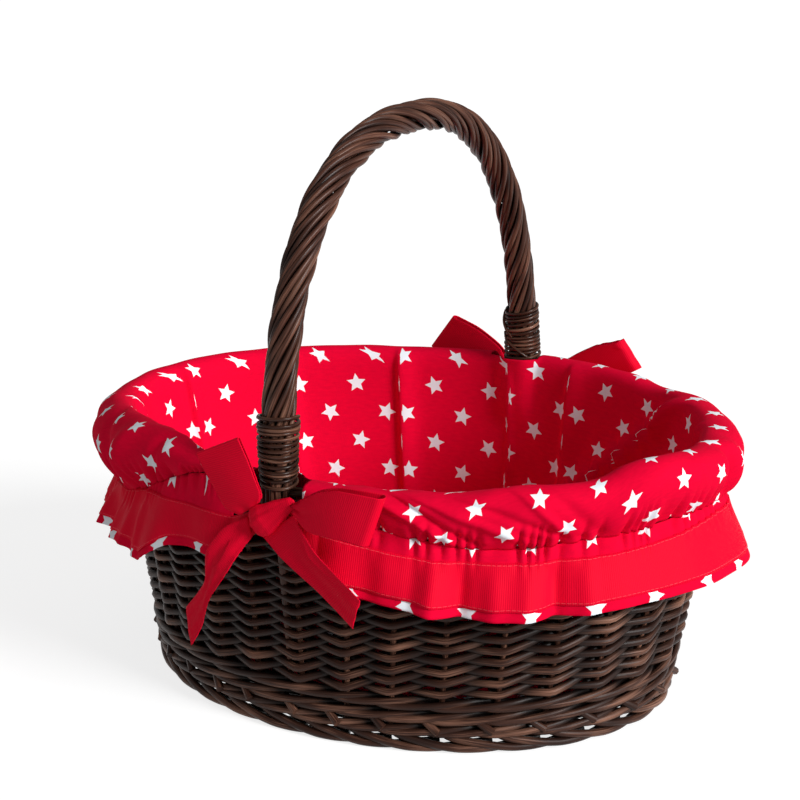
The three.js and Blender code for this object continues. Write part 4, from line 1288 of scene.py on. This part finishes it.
def between_edges(first, second, rows, columns=41):
    """Ribbon lofted between two edges. Where they are closer than it is wide, the rest is folded under."""
    width = sizes("cloth").ribbon_width
    share = np.linspace(0, 1, rows)
    edges = []
    for edge in (first, second):
        points = np.array(edge, float) * MM
        places = np.linspace(0, 1, len(points))
        edges.append(softened(np.stack([np.interp(share, places, points[:, i]) for i in range(3)], -1), 6))
    chord = np.linalg.norm(edges[1] - edges[0], axis=-1)[:, None]
    taken = np.linspace(0, width, columns)[None, :]
    folded = chord - np.abs(taken % (2 * chord) - chord)
    place = np.where(chord < width, folded, taken * chord / width) / chord
    sheet = edges[0][:, None, :] + (edges[1] - edges[0])[:, None, :] * place[:, :, None]
    sheet[:, :, 2] -= 0.9 * MM * np.clip(taken / chord - 1, 0, 5)
    close = np.clip(1 - chord / width, 0, 1)
    sheet[:, :, 2] += 1.2 * MM * close * np.sin(place * 2 * FULL_TURN)
    return sheet


def ribbon_uv(grid):
    """Metres along a ribbon and across it."""
    steps = np.linalg.norm(np.diff(grid, axis=0), axis=2).mean(axis=1)
    along = np.concatenate([[0], np.cumsum(steps)])[:, None]
    across = np.linspace(0, sizes("cloth").ribbon_width, grid.shape[1])[None, :]
    return np.stack([along + 0 * across, across + 0 * along], -1)


def loop_grid(first, second, gap):
    """A loop: out along its front, round the fold, and back behind to the knot."""
    front = between_edges(first, second, 34)
    share = np.linspace(0, 1, 34)[:, None]
    arch = 1.2 * MM * np.sin(math.pi * share) * np.sin(math.pi * np.linspace(0, 1, front.shape[1]))[None, :]
    front[:, :, 2] += arch
    ahead = front[-1] - front[-4]
    ahead[:, 2] = 0
    ahead /= np.linalg.norm(ahead, axis=-1, keepdims=True)
    turn = np.linspace(-math.pi / 2, math.pi / 2, 11)[1:-1, None]
    fold = front[-1][None] + ahead[None] * (gap * MM / 2 * np.cos(turn))[..., None]
    fold[:, :, 2] -= gap * MM / 2 * (1 + np.sin(turn))
    back = front[::-1].copy()
    back[:, :, 2] -= gap * MM * (0.4 + 0.6 * share[::-1]) + 2 * arch[::-1]
    return np.concatenate([front, fold, back])


def tail_grid(first, second):
    """A tail, slightly cupped across and waved along its length."""
    sheet = between_edges(first, second, 49)
    share = np.linspace(0, 1, 49)[:, None]
    across = np.linspace(-1, 1, sheet.shape[1])[None, :]
    sheet[:, :, 2] += 1.2 * MM * np.sin(4.5 * share) * smooth(share * 4) * (across ** 2 - 0.4)
    return sheet


def knot_grid():
    """The knot: ribbon wrapped round the waist, wrinkled along it and drawn thin towards its upper end."""
    start, stop = (np.array(end) * MM for end in KNOT_ENDS)
    axis = stop - start
    side = np.array([-axis[1], axis[0]]) / np.hypot(*axis)
    share = np.linspace(0, 1, 41)[:, None]
    turn = np.linspace(0, FULL_TURN, 65)[None, :]
    body = np.interp(share, [0, 0.04, 0.14, 0.3, 0.55, 0.75, 0.93, 1], [0, 0.66, 0.94, 1, 0.78, 0.5, 0.32, 0])
    wrinkle = 1 + 0.07 * np.sin(6 * turn + 2.5 * share) + 0.035 * np.sin(11 * turn - 3 * share)
    wrinkle = wrinkle + 0.05 * np.sin(9 * share + 0.8 * np.sin(turn))
    up = 10 * MM * body * wrinkle * np.sin(turn)
    out = 7 * MM * body * wrinkle * np.cos(turn)
    grid = np.stack([
        start[0] + axis[0] * share + side[0] * up, start[1] + axis[1] * share + side[1] * up,
        sizes("cloth").bow_out + out,
    ], -1)
    grid[:, -1] = grid[:, 0]
    return grid


class BASKET_OT_ribbons(bpy.types.Operator):
    """Sews the ribbon on the frill and gathers its ends to the bows"""

    bl_idname = "basket.ribbons"
    bl_label = "Ribbons"

    def execute(self, context):
        cloth = sizes("cloth")
        share = np.linspace(0, 1, 13)[None, :]
        blend = np.linspace(0, 1, 25)[1:, None, None]
        for name, end in ENDS:
            angle = np.linspace(*frill_span(end), 420)[:, None]
            on_frill = frill_points(angle, 1 + share, end, lift=0.9 * MM)
            ties = []
            for rear in (False, True):
                edge = half_turn(on_frill[-1 if rear else 0], rear)
                upper, lower = (np.array(spot) * MM for spot in TIE_TARGETS[-end if rear else end])
                spot = upper + (lower - upper) * share[0][:, None]
                pleats = 0.8 * MM * np.sin(share[0] * 3 * FULL_TURN)
                goal = on_front(spot[:, 0], spot[:, 1], TIE_OUT * MM + pleats)
                bowed = np.array([0, -3 * MM, 0]) * np.sin(math.pi * blend)
                ties.append(half_turn(edge * (1 - blend) + goal * blend + bowed, rear))
            grid = np.concatenate([ties[0][::-1], on_frill, ties[1]])
            uv = ribbon_uv(grid)
            piece = cloth_piece(f"ribbon_band_{name}", grid, uv, [f"ribbon_{name}"],
                                "sewn", cloth.ribbon_thickness)
        return {"FINISHED"}


class BASKET_OT_bows(bpy.types.Operator):
    """Ties the bows: two loops and two tails each, and a knot over the waist"""

    bl_idname = "basket.bows"
    bl_label = "Bows"

    def execute(self, context):
        cloth = sizes("cloth")
        for name, loops in LOOPS.items():
            parts = [loop_grid(*loop) for loop in loops]
            parts += [tail_grid(*tail) for tail in (LONG_TAIL, SHORT_TAIL)]
            parts.append(knot_grid())
            for k, sheet in enumerate(parts):
                knot = k == len(parts) - 1
                grid = half_turn(on_front(sheet[:, :, 0], sheet[:, :, 1], sheet[:, :, 2]), name == "rear")
                uv = ribbon_uv(grid)
                piece = cloth_piece(
                    f"knot_ribbon_{name}" if knot else f"bow_ribbon_{name}_{k + 1}", grid, uv,
                    [f"knot_{name}" if knot else f"bow_{name}"], "ribbon",
                    cloth.ribbon_thickness, closed=knot,
                )
        return {"FINISHED"}


# The studio: each lamp's energy in watts a square metre, direction that its light comes from, and softness

LAMPS = {"Key lamp": (4.0, (0.93, -0.12, 0.42), 0.35), "Fill lamp": (0.15, (-0.8, -0.7, 0.5), 0.9)}
AMBIENT = 0.26
FLOOR_GLOW = 0.78
# Camera, fitted to the photo: degrees round and up, metres away, what it looks at, lens in mm, and shifts
AZIMUTH, ELEVATION, AWAY = 30.7, 17.1, 1.4314
LOOKS_AT = (0, 0, 0.15)
LENS, SENSOR, SHIFT_X, SHIFT_Y = 93.96, 36, -0.0139, 0.067


def seen_by(tree, *kinds):
    """One for rays of these kinds."""
    path = add_node(tree, "ShaderNodeLightPath")
    shown = path.outputs[f"Is {kinds[0]} Ray"]
    for kind in kinds[1:]:
        shown = maths(tree, "MAXIMUM", shown, path.outputs[f"Is {kind} Ray"])
    return shown


def paper_floor():
    """Matt white paper, which glows a little where the camera sees it."""
    colours = sizes("colours")
    builder = bmesh.new()
    bmesh.ops.create_grid(builder, x_segments=1, y_segments=1, size=6)
    floor = object_from(builder, "studio_floor")
    material, tree, shader = new_material("Matt white paper floor")
    output = next(node for node in tree.nodes if node.type == "OUTPUT_MATERIAL")
    shader.inputs["Roughness"].default_value = 1.0
    shader.inputs["Specular IOR Level"].default_value = 0.0
    shown = seen_by(tree, "Camera", "Glossy", "Transmission")
    tree.links.new(mixed(tree, shown, colours.floor, colours.floor_seen), shader.inputs["Base Color"])
    glow = add_node(tree, "ShaderNodeEmission", {"Strength": maths(tree, "MULTIPLY", shown, FLOOR_GLOW)})
    both = add_node(tree, "ShaderNodeAddShader", {0: shader.outputs[0], 1: glow.outputs[0]})
    tree.links.new(both.outputs[0], output.inputs["Surface"])
    floor.data.materials.append(material)


def white_backdrop(scene):
    """White all round where the camera sees it, and dimmer as it lights the basket."""
    scene.world = bpy.data.worlds.new("White studio")
    scene.world.use_nodes = True
    tree = scene.world.node_tree
    tree.nodes.clear()
    ambient, backdrop = (
        add_node(tree, "ShaderNodeBackground", {"Color": (1, 1, 1, 1), "Strength": strength}).outputs[0]
        for strength in (AMBIENT, 1.0)
    )
    shown = seen_by(tree, "Camera", "Transmission")
    both = add_node(tree, "ShaderNodeMixShader", {0: shown, 1: ambient, 2: backdrop})
    add_node(tree, "ShaderNodeOutputWorld", {"Surface": both.outputs[0]})


def place_lamps(scene):
    """Sets the two lamps."""
    for name, (energy, source, softness) in LAMPS.items():
        lamp = bpy.data.lights.new(name, "SUN")
        lamp.energy, lamp.angle = energy, softness
        holder = bpy.data.objects.new(name, lamp)
        holder.rotation_euler = Vector(source).to_track_quat("Z", "Y").to_euler()
        scene.collection.objects.link(holder)


def place_camera(scene):
    """Sets the camera at its fitted place."""
    azimuth, elevation = math.radians(AZIMUTH), math.radians(ELEVATION)
    back = Vector((
        math.sin(azimuth) * math.cos(elevation),
        -math.cos(azimuth) * math.cos(elevation),
        math.sin(elevation),
    ))
    camera = bpy.data.cameras.new("Camera")
    camera.lens, camera.sensor_width, camera.sensor_fit = LENS, SENSOR, "HORIZONTAL"
    camera.shift_x, camera.shift_y = SHIFT_X, SHIFT_Y
    holder = bpy.data.objects.new("Camera", camera)
    turned = back.to_track_quat("Z", "Y").to_matrix().to_4x4()
    holder.matrix_world = Matrix.Translation(Vector(LOOKS_AT) + back * AWAY) @ turned
    scene.collection.objects.link(holder)
    scene.camera = holder


class BASKET_OT_stage(bpy.types.Operator):
    """Lays the white studio floor and sets the lamps and the camera"""

    bl_idname = "basket.stage"
    bl_label = "Stage"

    def execute(self, context):
        paper_floor()
        white_backdrop(context.scene)
        place_lamps(context.scene)
        place_camera(context.scene)
        context.scene.view_settings.view_transform = "Standard"
        return {"FINISHED"}


STEPS = (
    BASKET_OT_stage, BASKET_OT_stakes, BASKET_OT_foot, BASKET_OT_wale, BASKET_OT_siding, BASKET_OT_top_border,
    BASKET_OT_base, BASKET_OT_handle, BASKET_OT_bindings, BASKET_OT_liner, BASKET_OT_liner_floor,
    BASKET_OT_elastics, BASKET_OT_frills, BASKET_OT_ribbons, BASKET_OT_bows,
)
GROUPS = {
    "wall": BasketWallSizes, "handle": BasketHandleSizes, "cloth": BasketClothSizes, "colours": BasketColours,
}


class BASKET_PT_panel(bpy.types.Panel):
    """Sizes, colours and pieces of the basket"""

    bl_label = "Gift basket"
    bl_idname = "BASKET_PT_panel"
    bl_space_type = "VIEW_3D"
    bl_region_type = "UI"
    bl_category = "Basket"

    def draw(self, context):
        for group in GROUPS:
            box = self.layout.box()
            settings = sizes(group)
            for name in settings.__annotations__:
                box.prop(settings, name)
        for step in STEPS:
            self.layout.operator(step.bl_idname)


def register():
    """Adds the sizes, operators and panel to Blender."""
    for cls in (*GROUPS.values(), *STEPS, BASKET_PT_panel):
        bpy.utils.register_class(cls)
    for name, cls in GROUPS.items():
        setattr(bpy.types.Scene, "basket_" + name, PointerProperty(type=cls))


def unregister():
    """Takes them out again."""
    for name in GROUPS:
        delattr(bpy.types.Scene, "basket_" + name)
    for cls in reversed((*GROUPS.values(), *STEPS, BASKET_PT_panel)):
        bpy.utils.unregister_class(cls)


def main():
    """Builds the basket."""
    register()
    for step in STEPS:
        group, name = step.bl_idname.split(".")
        getattr(getattr(bpy.ops, group), name)()


if __name__ == "__main__":
    main()
